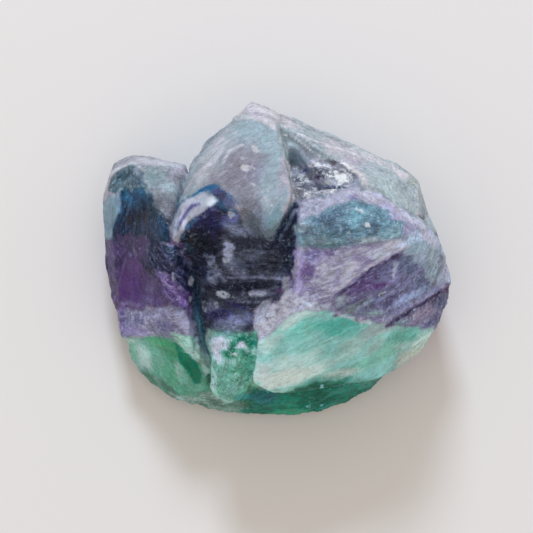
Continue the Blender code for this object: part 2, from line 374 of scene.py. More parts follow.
DARK_GAP = (
    (-13.3, -1.6), (-12.8, -7.9), (-12, -11.5), (-11.2, -15.5), (-10.6, -16.9), (-10.2, -14.6),
    (-10.9, -12.4), (-11.5, -8.8), (-11.9, -4.3),
)
PEAK = (
    (-13.3, 14.3), (-14, 12), (-15.1, 8.6), (-12.6, 10.2), (-10.8, 11.2), (-8.4, 10.6), (-6.4, 8.8),
    (-5.6, 5.2), (-3.6, 3.4), (-1.6, 2.2), (-0.3, 2.8), (1, 6.3), (2.4, 8.8), (2.1, 11.2), (1.9, 13.9),
    (1.2, 15.5),
    (0.5, 17.5), (0.3, 20.7), (0.6, 27), (-8, 27), (-14, 18),
)
PEAK_TIP = ((-9, 21.6), (-7, 22), (-3.9, 22), (-2, 21.3), (-0.2, 20.1), (0.4, 21), (1.5, 28), (-8, 28))
HOLLOW = (
    (-14.6, 3), (-13.4, 5.6), (-10.5, 7.5), (-8.8, 8.6), (-6.8, 7.9), (-5.4, 5.9), (-3.4, 4), (-1.2, 2.8),
    (0.6, 4.6), (1.6, 6.8), (3.8, 9), (3.2, 5), (2.6, 2), (2.2, -2), (1.2, -3), (0.6, -5.8), (-1.8, -6.5),
    (-3.4, -8), (-3.4, -10.4), (-4.6, -11.4), (-8, -11), (-11, -10.8), (-12, -14.6), (-12.9, -9), (-13.2, -4),
    (-13.6, 0),
)
GULLY = ((3.9, 9.4), (2.2, 7.6), (-0.2, 4), (0.2, 2), (1.2, -1), (2.5, -2.4), (2.9, 2), (3.2, 5))
RIM = (
    (-16.3, 5.2), (-15.1, 8.2), (-13.4, 9.4), (-11.8, 10), (-9.4, 10), (-8.9, 8.8), (-10.3, 7.8),
    (-13.2, 5.8), (-14.3, 3.8), (-15, 2.2), (-15.9, 3),
)
ARC = (
    (-12.6, 9.7), (-11.6, 10.9), (-9.4, 11.5), (-7.8, 10.8), (-6.2, 9.2), (-5.6, 7.4), (-6.8, 7.2),
    (-8.4, 7.8),
    (-9, 9.4), (-9.6, 10.3), (-11, 10.2),
)
LOBE = (
    (3.4, 9), (5.8, 9.5), (8, 9.8), (11.4, 10.8), (15.9, 9.7), (21, 6.4), (25, 3.6), (29, 3), (29, -6),
    (24.5, -7),
    (18, -9.9), (14.5, -9.7), (7.8, -8), (4.6, -7), (2.6, -5), (2.5, -2), (2.8, 2), (3, 5),
)
LOBE_STRIP = (
    (3.2, 9), (5.8, 9.5), (8, 9.8), (11.4, 10.8), (15.9, 9.9), (21, 6.6), (25, 3.8), (23.6, 2.6), (19.9, 4.6),
    (17, 7.2), (13.4, 8.6), (10.7, 8.5), (8, 7.7), (5.8, 6.4), (3.4, 5.2),
)
LOBE_TEAL = (
    (6, 6.8), (8, 8.1), (10.7, 8.9), (13.4, 9), (16.8, 7.7), (19.5, 5.2), (19.6, 3.4), (16.3, 2.8),
    (12.3, 2.3), (10.4, 1.8), (6.6, 1.8), (3, 2), (3, 5.6),
)
RIGHT_END = (
    (19.6, 1.2), (19.4, 3.8), (22.6, 4.6), (29, 3), (29, -3.8), (25.6, -3.6), (23.2, -3.4), (21.2, -1),
)
PURPLE_FACE = (
    (9.5, -5.1), (14.7, -1.5), (19.2, 1.1), (20.8, 0.4), (22.8, -2), (24.6, -4.6), (21, -6.4), (17, -8.6),
    (12.6, -8.8), (9.4, -7.8), (8.4, -6.4),
)
BROWN_FACE = ((17.2, -9.9), (20.2, -8.2), (24.2, -6), (29, -4.4), (28, -11.4), (21, -10.6))
BROW = (
    (4.6, -7.2), (6.9, -6.9), (8.4, -8), (10.7, -8.7), (14.5, -9.7), (20, -10.4), (27, -11), (26.5, -14),
    (21.4, -17), (16.7, -19.2), (11, -19.6), (6, -19.1), (2.6, -20.4), (-1, -21), (-3.9, -19.9),
    (-4.4, -18.4),
    (-4, -16.6), (-3.9, -14.6), (-3.1, -12.4), (-1.3, -11), (1.9, -8.4),
)
BROW_END = ((19, -10.6), (27, -11.2), (27, -15), (21, -19), (18.4, -18.8), (18.6, -14))
TONGUE = (
    (-10.5, -12), (-10.4, -17), (-10.3, -20.4), (-9.3, -21.9), (-7.7, -22.7), (-5.5, -22.3), (-4.4, -20.5),
    (-3.8, -18.9), (-3.4, -16.2), (-3.1, -13.4), (-2.8, -10.4), (-4, -11.4), (-6.5, -11.6),
)
CREST = (
    (-3.5, -8), (-1.8, -6.5), (0.7, -6), (1.2, -3), (1.8, -2.4), (2.5, -3.6), (2.5, -5), (5.2, -6.1),
    (8.6, -6.9), (7.4, -7.8), (4.6, -7.6), (1.8, -8.8), (-1.4, -11.8), (-2.8, -12.8), (-3.4, -10.6),
)
LEFT_FOOTING = (
    (-27, -12), (-22.2, -12.4), (-20, -12), (-18.2, -11.7), (-16.4, -12.5), (-15.2, -13.9), (-13.9, -15.4),
    (-12.3, -16.5), (-11.4, -16), (-10.4, -17), (-10.3, -20.4), (-9.3, -21.9), (-8, -26), (-24, -26),
)
FOOTING_GLASS = (
    (-16.1, -13.1), (-14.7, -14), (-13.4, -15.3), (-12.2, -16.3), (-11.6, -18), (-12, -19.4),
    (-13, -19.7), (-14.1, -17.6), (-15.2, -16),
)
BASE_STRIP = (
    (-17.6, -21), (-15.3, -21.8), (-13, -21.7), (-10.8, -20.8), (-10, -20.2), (-9.3, -21.9), (-7.7, -22.8),
    (-5.6, -22.4), (-2, -27), (-20, -27),
)
FRONT_FOOTING = (
    (-5.6, -22.3), (-4.4, -20.6), (-3.6, -19.8), (-1, -21), (2.6, -20.4), (6, -18.9), (9.2, -18.7),
    (11.4, -19.2),
    (16.7, -19.2), (19, -18.4), (18, -27), (-3, -27),
)

# What a region is like. Below its lowest height it gives way to the bands. Border and fray say how soft and
# how ragged its edge is. Grain is the angle of its streaks from +X. Rough, streaked, mottled and frosted run
# from 0 to 1. The light trait after them is painted light and shade: how much light of each colour the region
# returns, a factor that paints its tones brighter or darker for the light and shade that fall on it. Washes
# are
# soft patches of another tone: tone, strength, middle, half lengths and angle; where one is painted shade or
# painted light, the region says so. Lines are fine strokes: tone, strength, half width, points.
TRAITS = "outline lowest border fray grain rough streaked mottled frosted lit tone washes lines"
Region = namedtuple("Region", TRAITS)

REGIONS = (
    Region(
        BACK_SLOPE, 9, 0.6, 0.3, 58, 0.25, 0.5, 0.4, 0.5, (0.98, 0.84, 0.71), "pale blue",
        (
            ("mist blue", 0.7, (4.6, 19.5), (2.8, 1.1), -32),
            ("mist blue", 0.8, (6.6, 17.7), (1.8, 1.1), -35),
            ("light teal", 0.6, (7.5, 16.6), (1.2, 0.6), -35),
            ("white lilac", 0.9, (1.5, 22), (2.4, 0.8), -25),
            ("pale lavender", 0.8, (8.7, 17.5), (2.2, 1.3), -30),
            ("pale lavender", 0.8, (12.3, 16.4), (2.6, 1.3), -30),
            ("lilac", 0.5, (11.8, 14.8), (1.4, 1), -30),
            ("mist blue", 0.5, (15.2, 13.7), (2.6, 1.4), -30),
            ("ice blue", 0.6, (16.8, 11.7), (2.4, 1.4), -25),
            ("white lilac", 0.8, (19, 13.9), (2.2, 0.6), -32),
            ("white lilac", 0.7, (15.6, 15.8), (2.8, 0.5), -28),
            ("grey green", 0.9, (21.7, 12.9), (1, 1), 0),
            ("mist blue", 0.6, (20.1, 11.5), (1.3, 1), 0),
            ("blue grey", 0.5, (23.1, 7.1), (0.8, 1.6), 80),
            ("mist blue", 0.6, (21.6, 9.2), (1.3, 1.1), 0),
            ("ice blue", 0.8, (17.9, 9.4), (2.2, 1), -30),
            ("white lilac", 0.5, (21.7, 6.7), (0.9, 0.7), 0),
        ),
        (
            ("white lilac", 0.9, 0.42, ((10.2, 15.3), (11.9, 13.8), (13.6, 12.1))),
            ("frost", 0.95, 0.2, ((12, 10.8), (13.6, 10.75), (15.9, 9.7))),
            ("frost", 0.8, 0.16, ((3.4, 19.6), (7, 18), (11, 17), (15, 15.4))),
            ("slate", 0.5, 0.12, ((1, 22.6), (5, 20.9), (10, 18.6))),
        ),
    ),
    # The recess: dark grey stone with the crest's shade painted into its dark slate, charcoal and navy
    # washes.
    Region(
        RECESS, 9, 0.3, 0.2, -20, 0.8, 0.5, 0.9, 0.7, (1.9, 1.75, 1.5), "slate",
        (
            ("dark slate", 0.7, (7.4, 12.6), (3.6, 1.2), -10),
            ("dark slate", 0.5, (3.4, 11), (1.2, 1.6), 0),
            ("slate", 0.6, (2.1, 11.4), (0.8, 1.4), 90),
            ("navy", 0.8, (4.6, 13.7), (0.6, 0.45), 0),
            ("white lilac", 0.8, (5.5, 14.8), (0.6, 0.35), -20),
            ("slate", 0.6, (9.1, 14.1), (1.2, 0.6), -20),
            ("charcoal", 0.6, (7.3, 13.7), (1.3, 0.6), -10),
            ("plum grey", 0.6, (6.4, 12.6), (1.4, 0.6), -10),
            ("slate", 0.7, (6.4, 10.8), (1.6, 0.5), 0),
            ("navy", 0.9, (9.6, 11), (1.4, 0.4), -10),
            ("charcoal", 0.6, (11.1, 13.5), (0.9, 0.35), -40),
        ),
        (
            ("pale lavender", 0.6, 0.09, ((2.6, 13), (4.6, 13.4), (6.4, 14.2))),
            ("pale lavender", 0.5, 0.08, ((2.8, 11.7), (4.6, 12.2), (6.6, 11.9))),
            ("pale lavender", 0.5, 0.08, ((7.8, 14.8), (10, 14.2), (11.8, 13.4))),
            ("night", 0.6, 0.12, ((3, 12.4), (5.4, 12.8), (7.4, 12.7))),
        ),
    ),
    Region(
        RECESS_WALL, 9, 0.25, 0.1, -60, 0.1, 0.3, 0.2, 0.1, (1.7, 1.5, 1.25), "steel",
        (
            ("dark slate", 0.7, (4.6, 16.4), (1.8, 0.7), -42),
            ("dark slate", 0.5, (0.7, 17.5), (0.5, 1.8), 90),
            ("mist grey", 0.5, (2.4, 17.6), (1, 0.8), -40),
        ),
        (
            ("frost", 0.85, 0.1, ((2.4, 19.4), (4.6, 17.6), (6.9, 16))),
        ),
    ),
    Region(
        SHOULDER_SIDE, 6, 0.6, 0.2, 90, 0.1, 0.3, 0.2, 0.2, (0.84, 0.68, 0.66), "light teal",
        (
            ("pale lavender", 0.85, (-26.7, 10.6), (0.7, 1.6), 90),
            ("mid teal", 0.5, (-26.2, 5.6), (0.8, 2), 90),
            ("deep teal", 0.8, (-26.6, 2.9), (0.7, 0.9), 90),
        ),
        (("frost", 0.7, 0.12, ((-24.5, 9.2), (-24.4, 8.3), (-24.5, 7.6))),),
    ),
    Region(
        GREY_FACET, 8, 0.4, 0.15, 60, 0.15, 0.35, 0.5, 0.2, (0.85, 0.77, 0.68), "mist grey",
        (
            ("sage blue", 0.8, (-19.1, 12.8), (1.6, 1.4), 0),
            ("pale blue", 0.9, (-16.7, 11.2), (1.2, 0.8), -10),
            ("pale lavender", 0.9, (-14.4, 13.9), (1.8, 0.9), -10),
            ("lavender grey", 0.6, (-15.5, 12.6), (1, 0.8), 0),
            ("slate", 0.8, (-17.3, 9.4), (1, 0.9), 0),
            ("slate", 0.9, (-16.4, 8.1), (1.2, 1.8), 70),
            ("dark slate", 0.8, (-16.6, 6.3), (0.7, 1), 90),
            ("blue grey", 0.7, (-14.4, 10.3), (1.5, 0.45), 65),
        ),
        (
            ("pale blue", 0.5, 0.1, ((-20.3, 12.4), (-18.6, 9.8), (-16.8, 6.6))),
            ("slate", 0.4, 0.1, ((-19.6, 10.9), (-17.4, 11), (-15.4, 9.4))),
        ),
    ),
    Region(
        SHOULDER_CAP, 8, 0.3, 0.15, 40, 0.4, 0.3, 0.6, 0.4, (0.52, 0.56, 0.55), "teal grey",
        (
            ("deep teal", 0.7, (-21.4, 12.6), (0.9, 1.2), 90),
            ("deep teal", 0.6, (-24.8, 13), (0.9, 0.6), 40),
            ("mist blue", 0.6, (-24.1, 12.1), (1, 0.45), 20),
            ("deep teal", 0.5, (-23, 13.4), (0.9, 0.6), 20),
        ),
        (
            (
                "pale blue", 0.85, 0.13,
                ((-24.6, 9.7), (-24.9, 10.7), (-24.1, 11.2), (-22.5, 11.4), (-20.7, 11.3)),
            ),
            ("pale blue", 0.8, 0.11, ((-25.9, 11.9), (-25.1, 12.8), (-24.3, 13.9))),
            ("pale lavender", 0.8, 0.14, ((-22.2, 14.3), (-21.2, 13.2), (-20.4, 12))),
            ("mist blue", 0.6, 0.1, ((-24.2, 12), (-22.6, 13), (-21.4, 12.2))),
        ),
    ),
    Region(
        SHOULDER_LIP, 8, 0.3, 0.1, 10, 0.1, 0.3, 0.2, 0.2, (0.78, 0.74, 0.63), "pale lavender",
        (
            ("lavender grey", 0.5, (-24.5, 15.2), (2, 0.6), 30),
            ("white lilac", 0.6, (-20, 15.8), (2, 0.5), -15),
        ),
        (
            # The two frost lines along the lip's lower edge are painted highlights.
            (
                "frost", 0.85, 0.16,
                ((-26.2, 13.6), (-25.4, 14.3), (-23.9, 14.9), (-22.3, 15.3), (-21.3, 14.6)),
            ),
            ("frost", 0.7, 0.14, ((-18.4, 15.1), (-16.6, 15), (-14, 14.3))),
            ("slate", 0.6, 0.12, ((-28, 11), (-25.9, 14.9), (-22.5, 16.8), (-19, 15.9))),
        ),
    ),
    Region(
        SHOULDER_VIOLET, 5, 0.7, 0.5, 84, 0.2, 0.6, 0.3, 0.25, (0.65, 0.68, 0.7), "violet",
        (
            ("deep violet", 0.8, (-23, 2.2), (1.6, 0.9), 0),
            ("dusk violet", 0.6, (-25.6, 3), (0.8, 0.7), 0),
            ("deep violet", 0.6, (-27.2, -1), (0.6, 4), 90),
            ("dusty violet", 0.8, (-19.6, -4.3), (1.5, 0.9), 100),
            ("dusty violet", 0.8, (-20.7, -6.7), (1.8, 0.8), 0),
            ("orchid", 0.8, (-23.6, -6.8), (2.4, 0.8), 0),
            ("night violet", 0.95, (-20, -0.9), (1.5, 0.9), -45),
            ("deep violet", 0.8, (-18.5, -3), (1.6, 0.5), -52),
            ("dusty violet", 0.6, (-17.2, -6.6), (1.4, 0.9), -20),
            ("deep violet", 0.5, (-14.4, -5.8), (1, 1.6), 60),
        ),
        (
            ("deep violet", 0.6, 0.18, ((-24.3, 0.2), (-24.5, -2.7), (-25.4, -5.2))),
            ("pale lavender", 0.5, 0.1, ((-22.4, 2), (-22.1, 1), (-21.8, 0.6))),
            ("pale lavender", 0.4, 0.1, ((-25.2, -6.9), (-22.6, -7), (-20.4, -7.3))),
        ),
    ),
    Region(
        VIOLET_FACET, 5, 0.4, 0.15, 84, 0.05, 0.25, 0.2, 0.05, (0.58, 0.62, 0.6), "magenta",
        (
            ("bright magenta", 0.8, (-22.1, -2.5), (1.9, 1), 80),
            ("deep magenta", 0.6, (-21.2, -4.3), (0.9, 1), 0),
            ("deep magenta", 0.4, (-23.4, -5.4), (1.2, 0.5), 0),
        ),
        (("lilac", 0.4, 0.1, ((-23.8, 0), (-24.4, -2.2), (-25.1, -5))),),
    ),
    Region(
        STREAKED_VIOLET, 5, 0.6, 0.4, -50, 0.5, 1.0, 0.3, 0.5, (0.85, 0.8, 1.0), "dusty violet",
        (("deep violet", 0.5, (-14, -5.4), (1.4, 0.6), -50),),
        (
            ("lilac", 0.8, 0.17, ((-18.7, -2), (-16, -4.7), (-13.4, -7.9))),
            ("deep violet", 0.8, 0.17, ((-18.2, -3.2), (-16.4, -5.4), (-14.2, -7.6))),
            ("lilac", 0.7, 0.15, ((-17.2, -4.8), (-15.8, -6.4), (-14.6, -7.4))),
            ("lilac", 0.8, 0.17, ((-17.4, -1.8), (-15, -4), (-13.2, -6.4))),
            ("deep violet", 0.7, 0.14, ((-16.6, -2.6), (-14.6, -4.8), (-13.2, -6))),
        ),
    ),
    Region(
        SHOULDER_INK, 7, 0.5, 0.5, 94, 0.4, 0.8, 0.2, 0.05, (0.3, 0.62, 0.74), "navy",
        (
            ("teal", 0.95, (-20.5, 10.4), (1.8, 1), -20),
            ("teal", 0.75, (-23.2, 9.9), (1.1, 0.8), 20),
            ("deep teal", 0.7, (-21.6, 8.8), (1.8, 1), 0),
            ("dark teal", 0.9, (-18.7, 7.2), (2.2, 1.1), 115),
            ("deep teal", 0.8, (-17.3, 3.8), (1.1, 1.1), 0),
            ("night", 0.6, (-22.4, 6), (1.8, 1.5), 0),
            ("night", 0.5, (-23.6, 7.2), (1.4, 0.5), 95),
            ("dark teal", 0.6, (-19.6, 3.4), (1, 0.7), 0),
        ),
        (
            ("blue grey", 0.5, 0.08, ((-23.2, 10.3), (-24.3, 7.4), (-24.9, 4.6))),
            ("blue grey", 0.5, 0.08, ((-22.6, 9.6), (-23.4, 7), (-23.6, 4.6))),
            ("blue grey", 0.4, 0.08, ((-21.6, 8.8), (-21.9, 6.4), (-22.2, 4.2))),
            ("blue grey", 0.5, 0.08, ((-20.2, 9.6), (-19.3, 7), (-19, 4.4))),
            ("blue grey", 0.4, 0.08, ((-19.4, 9), (-18.2, 6.8), (-17.4, 4.6))),
            ("blue grey", 0.4, 0.08, ((-20.9, 8.4), (-20.6, 6), (-20.8, 4))),
        ),
    ),
    Region(
        SHOULDER_NAVY, 7, 0.5, 0.4, -48, 0.6, 1.0, 0.3, 0.3, (0.85, 0.85, 1.0), "navy",
        (
            ("deep teal", 0.6, (-16.4, 1.3), (1.5, 0.8), -40),
            ("pale lavender", 0.8, (-16.2, 2.3), (1, 0.5), 0),
            ("night violet", 0.6, (-15, -2.4), (2, 0.6), -48),
            ("blue lavender", 0.4, (-13.9, -0.4), (1.2, 0.4), -55),
        ),
        (
            ("blue lavender", 0.6, 0.12, ((-19.1, 1.1), (-16.4, -1.2), (-13.8, -3.9))),
            ("blue lavender", 0.6, 0.12, ((-17.8, 1.4), (-15.6, -0.7), (-13.6, -2.6))),
            ("pale lavender", 0.6, 0.12, ((-14.6, 1.2), (-13.9, 0), (-13.2, -1))),
        ),
    ),
    Region(
        SHOULDER_SHELF, 6, 0.7, 0.3, 6, 0.35, 0.6, 0.4, 0.6, (0.7, 0.68, 0.82), "lavender grey",
        (
            ("dusty violet", 0.85, (-25.2, -8.8), (1.3, 1.3), 0),
            ("orchid", 0.85, (-25.9, -10), (1.5, 2.4), 0),
            ("slate lilac", 0.8, (-22.8, -9.2), (2, 0.9), 5),
            ("lilac", 0.9, (-24.2, -11.7), (2, 0.8), 0),
            ("lilac", 0.7, (-22, -11), (2, 0.6), 0),
            ("slate lilac", 0.7, (-17.3, -10.4), (1.6, 0.9), -10),
            ("pale lavender", 0.6, (-16.6, -8.3), (1.8, 0.6), -15),
            ("white lilac", 0.8, (-14.2, -9.9), (1.5, 0.9), -50),
            ("white lilac", 0.9, (-13.2, -11.8), (2, 0.7), -65),
            ("dusty violet", 0.7, (-13.2, -8.6), (0.9, 0.5), -30),
        ),
        (
            ("frost", 0.85, 0.14, ((-20.6, -9.25), (-19.4, -8.9), (-18.2, -8.6))),
            ("pale lavender", 0.7, 0.1, ((-23.9, -8.3), (-22.4, -8.1), (-21, -8.2))),
            ("pale lavender", 0.7, 0.09, ((-24.8, -9.1), (-23.4, -8.8), (-22.2, -9))),
            ("pale lavender", 0.6, 0.09, ((-24.4, -10), (-22.6, -9.9), (-21.2, -10.1))),
            ("cream", 0.7, 0.16, ((-25, -12.4), (-23.4, -12.5), (-21.6, -12.2))),
        ),
    ),
    Region(
        SHELF_RIDGE, 6, 0.5, 0.2, -45, 0.5, 0.4, 0.6, 0.7, (0.9, 1.05, 0.95), "pale aqua",
        (
            ("white aqua", 0.9, (-12.7, -14.6), (1.6, 0.9), -55),
            ("green grey", 0.6, (-15.4, -12.4), (1.2, 0.6), -30),
        ),
        (),
    ),
    Region(
        PEAK, 10, 0.35, 0.15, 50, 0.12, 0.3, 0.35, 0.3, (0.7, 0.62, 0.56), "pale blue",
        (
            ("silver", 0.7, (-9.7, 16.2), (3.8, 1.4), 47),
            ("mist blue", 0.6, (-12.6, 13), (1.8, 1), 50),
            ("silver", 0.6, (-10.8, 13.3), (2.6, 1.2), 50),
            ("mist grey", 0.6, (-13.4, 11), (1.6, 0.9), 60),
            ("warm grey", 0.9, (-8.3, 12.1), (2.8, 2), 30),
            ("lavender grey", 0.9, (-5.2, 14.6), (3, 2.8), -30),
            ("lavender grey", 0.7, (-2.5, 16.6), (1.6, 1.1), -40),
            ("blue lavender", 0.35, (-3.6, 13), (1.6, 1.4), 0),
            ("lavender grey", 0.8, (-5.4, 10.6), (2.4, 2.4), 0),
            ("slate", 0.55, (-5.6, 12.3), (2.4, 2.2), 0),
            ("silver", 0.6, (-10.8, 13.7), (1.8, 1), 50),
            # On the peak's front slope these slate and blue grey washes are the navy band with the slope's
            # shade painted in.
            ("slate", 0.8, (-4.3, 7.9), (2, 2.4), 60),
            ("slate", 0.8, (-5.2, 6.8), (1.4, 1.2), 0),
            ("blue grey", 0.8, (-3, 5.6), (1.5, 1.8), 60),
            ("ice blue", 0.95, (-4.1, 20.5), (3.6, 1.5), -8),
            ("ice blue", 0.95, (-1.6, 18.2), (2.4, 1.5), -55),
            ("ice blue", 0.8, (0.1, 16), (2.4, 0.9), 85),
            ("pale lavender", 0.8, (1, 12.8), (2.4, 0.7), 85),
            ("pale blue", 0.8, (-0.7, 9.4), (2.8, 1.3), 80),
            ("mist blue", 0.9, (-0.1, 5.6), (1.9, 1), 60),
            ("light teal", 0.8, (-0.4, 5.4), (2.6, 1.2), 65),
            ("blue grey", 0.8, (-2.4, 3.8), (1.6, 1), 0),
        ),
        (
            ("frost", 0.85, 0.13, ((-12.8, 12.8), (-11, 14.4), (-9.2, 16.2))),
            ("frost", 0.9, 0.18, ((-10.8, 14.1), (-9, 15.7), (-8.2, 17.4))),
            ("frost", 0.85, 0.15, ((-10.4, 16.8), (-9.3, 17.9), (-8.3, 18.9))),
            ("frost", 0.85, 0.17, ((-8.1, 15), (-7.2, 16.8), (-5.4, 17.7))),
            ("white lilac", 0.8, 0.13, ((-9.9, 17.5), (-8.6, 19.2), (-7.2, 20.7))),
            ("white lilac", 0.8, 0.12, ((-14, 10.4), (-12.6, 12.6), (-11.4, 13.4))),
            ("slate", 0.6, 0.13, ((-12.8, 15.2), (-10.9, 18), (-8.8, 20.6), (-7.2, 22))),
            ("white lilac", 1.0, 0.45, ((0.9, 15.3), (1.6, 14.6), (1.9, 13.2))),
            ("white lilac", 1.0, 0.5, ((1, 12.4), (1.9, 11.6), (2.2, 10.6))),
            ("white lilac", 0.9, 0.5, ((2.1, 9.6), (2, 8.4), (1.2, 7.2))),
            ("mist grey", 0.7, 0.12, ((0.4, 20), (0.8, 17.4), (1.4, 15.4))),
        ),
    ),
    Region(
        PEAK_TIP, 8, 0.35, 0.15, -15, 0.25, 0.4, 0.3, 0.4, (0.9, 0.83, 0.7), "white lilac",
        (
            ("pale lavender", 0.8, (-4.1, 23.6), (1.8, 0.8), -20),
            ("mist blue", 0.6, (-5.6, 22.3), (1.6, 0.6), 10),
            ("lilac", 0.35, (-2.4, 22.5), (1.6, 0.5), -20),
            ("pale lavender", 0.6, (-0.4, 21.8), (1.2, 0.6), -30),
        ),
        (
            # The first frost line, along the tip's lower edge, is a painted highlight.
            ("frost", 0.85, 0.15, ((-7, 22), (-3.8, 22), (-2, 21.3), (0, 20.1))),
            ("lavender grey", 0.6, 0.1, ((-5.4, 23), (-2.9, 22.9), (0, 21.8))),
            ("frost", 0.8, 0.13, ((-4.3, 24), (-2.2, 23.4), (-0.6, 22.6))),
            ("slate", 0.5, 0.12, ((-7.6, 22), (-4.2, 25), (-0.8, 23.8), (1, 22.8))),
        ),
    ),
    # The hollow: dark navy stone with the hollow's shade painted into its night and charcoal tones; its paler
    # slate and lavender smudges are pale stone with soft painted reflections.
    Region(
        HOLLOW, 10, 1.1, 0.35, 4, 0.7, 0.5, 0.9, 0.1, (1.4, 1.5, 1.65), "charcoal",
        (
            ("night violet", 0.95, (-10.6, 5.9), (2.6, 1.7), 30),
            ("night", 1.0, (-12.6, 2.6), (1.8, 2.6), 80),
            ("dark teal", 0.8, (-13.8, 2), (0.7, 1.8), 80),
            ("night violet", 0.9, (-8.6, 4.7), (1.5, 1.5), 0),
            ("indigo grey", 0.85, (-7, 6), (1.2, 1.3), 0),
            ("slate", 0.7, (-6.3, 4.6), (1.4, 1), 0),
            ("slate", 0.85, (-4.5, 4.6), (1.8, 1), 0),
            ("night", 0.85, (-10.6, 1.4), (1.6, 1.6), 0),
            ("pale lavender", 0.8, (-7.3, 1.6), (0.8, 2), 10),
            ("night", 0.7, (-0.6, 2.9), (1.8, 0.8), 30),
            ("charcoal", 0.8, (-2.9, 2.6), (2.2, 1), 10),
            ("dark slate", 0.8, (-3, 0.5), (2.8, 0.7), 8),
            ("slate", 0.6, (-6.2, -1.3), (1.8, 1.1), -30),
            ("night", 0.6, (-3.4, -0.8), (2.6, 0.5), 5),
            ("dark slate", 0.7, (-1, -2.4), (2, 0.6), 5),
            ("slate", 0.7, (-10, -0.8), (0.6, 1.3), 10),
            ("slate", 0.75, (-9.6, -2.9), (0.8, 1.1), 0),
            ("night", 0.8, (-11.6, -1.6), (1.3, 1.6), 0),
            ("night", 0.8, (-8.8, -4.2), (2.2, 0.5), 0),
            ("night", 0.9, (-4.2, -4.4), (2.8, 0.5), 4),
            ("pale lavender", 0.8, (-2.7, -5.3), (2.2, 0.5), 3),
            ("night violet", 0.9, (-8.6, -8.6), (2, 1.1), 0),
            ("slate", 0.7, (-7.4, -10), (2.2, 1.1), 0),
            ("slate lilac", 0.5, (-5.2, -8.9), (2, 1), 0),
            ("slate", 0.5, (-10.1, -7.2), (0.8, 0.9), 0),
            ("night violet", 0.8, (-6.1, -6.9), (2, 0.4), -15),
            ("lavender grey", 0.5, (-4.3, -6.4), (1.7, 0.25), -12),
            ("green grey", 0.8, (-10.3, -12.4), (1, 1.5), 0),
            ("slate", 0.7, (-6.3, -11), (1.2, 0.6), 0),
        ),
        (
            ("slate", 0.4, 0.12, ((-6.3, 1.1), (-3.8, 1.5), (-1.8, 1.2))),
            ("slate", 0.4, 0.1, ((-4.6, -0.9), (-2.4, -0.6), (0.6, -1.1))),
            ("slate", 0.5, 0.12, ((-11, 1), (-10, -1), (-10.6, -2.6), (-9.4, -3.8))),
            ("slate", 0.5, 0.12, ((-8.2, 3.4), (-7.6, 1.6), (-6.6, -0.4), (-4.8, -1.8))),
            ("lavender grey", 0.5, 0.12, ((-7.4, -2.8), (-2.9, -2.6), (1, -2.9))),
            ("night", 0.8, 0.18, ((-6.4, -4), (-3, -3.6), (0.6, -3.9))),
            ("night", 0.8, 0.16, ((-6, -3.1), (-4, -6.2), (-2.6, -6.4))),
            ("lavender grey", 0.5, 0.12, ((-9.8, 0.6), (-9, -1.6), (-8, -3.4))),
            ("deep teal", 0.8, 0.2, ((-14.4, 3.2), (-13.6, 4.9), (-12.2, 6.2))),
        ),
    ),
    # The groove between the shoulder and the middle: dark teal stone with the groove's shade painted in.
    Region(
        DARK_GAP, 4, 0.35, 0.15, 95, 0.4, 0.6, 0.3, 0.2, (1.0, 1.1, 1.2), "dark teal",
        (
            ("night", 0.6, (-12.5, -3.6), (0.5, 1.8), 0),
            ("sea slate", 0.7, (-12.1, -9.6), (0.5, 1.8), 0),
            ("sea slate", 0.9, (-11.6, -12.8), (0.6, 1.6), 10),
            ("green grey", 0.8, (-10.9, -15.6), (0.5, 1.2), 10),
        ),
        (),
    ),
    # The gully between the peak and the lobe: dark stone with painted shade in its near-black tone.
    Region(
        GULLY, 10, 0.3, 0.2, 62, 0.8, 0.8, 0.3, 0.2, (1.7, 2.2, 2.4), "night",
        (
            ("charcoal", 0.7, (1.6, 5), (1.6, 0.5), 62),
            ("lavender grey", 0.6, (2.4, 7), (0.8, 0.3), 65),
        ),
        (("slate", 0.5, 0.1, ((0.4, 3), (1.8, 5.4), (2.9, 7.6))),),
    ),
    Region(
        ARC, 12, 0.35, 0.2, 20, 0.1, 0.3, 0.2, 0.05, (1.0, 0.86, 0.78), "peacock",
        (
            ("night violet", 0.9, (-8.3, 9.6), (1, 1.1), 0),
            ("indigo", 0.6, (-8.8, 10.4), (0.7, 0.4), 0),
            ("indigo grey", 0.85, (-6.9, 8.5), (1.2, 1.1), 0),
            ("slate", 0.9, (-5.8, 7.6), (0.9, 0.8), 0),
        ),
        (),
    ),
    Region(
        RIM, 12, 0.3, 0.15, 55, 0.2, 0.5, 0.3, 0.4, (0.6, 0.6, 0.57), "white lilac",
        (
            ("frost", 0.95, (-10.5, 9), (1.5, 1.2), 20),
            ("pale lavender", 0.7, (-14.2, 7.8), (1.4, 0.8), 50),
        ),
        (("indigo", 0.75, 0.24, ((-15.4, 4.4), (-13.7, 7.2), (-12.8, 8.3), (-11.8, 8.4))),),
    ),
    Region(
        LOBE, 15, 0.35, 0.2, 24, 0.6, 0.5, 0.55, 0.55, (1.0, 1.0, 1.02), "mauve",
        (
            ("lavender grey", 0.9, (6.2, 9.4), (3.2, 1), 6),
            ("lavender grey", 0.6, (5.4, 8.4), (1.1, 0.5), 0),
            ("white lilac", 0.6, (4.6, 7.6), (0.8, 0.9), 0),
            ("warm lilac", 0.9, (12, 9.9), (3.4, 0.9), -8),
            ("warm lilac", 0.9, (17, 8.3), (3, 0.9), -32),
            ("indigo", 0.5, (11.8, 9.5), (1.2, 0.35), -12),
            ("pale lavender", 0.8, (17.9, 7.4), (1.8, 0.6), -35),
            ("indigo", 0.5, (15.2, 8.4), (0.6, 0.4), 0),
            ("white lilac", 0.8, (21.2, 6), (2.4, 0.5), -35),
            ("lilac", 0.8, (20.4, 5.4), (1.4, 0.6), -30),
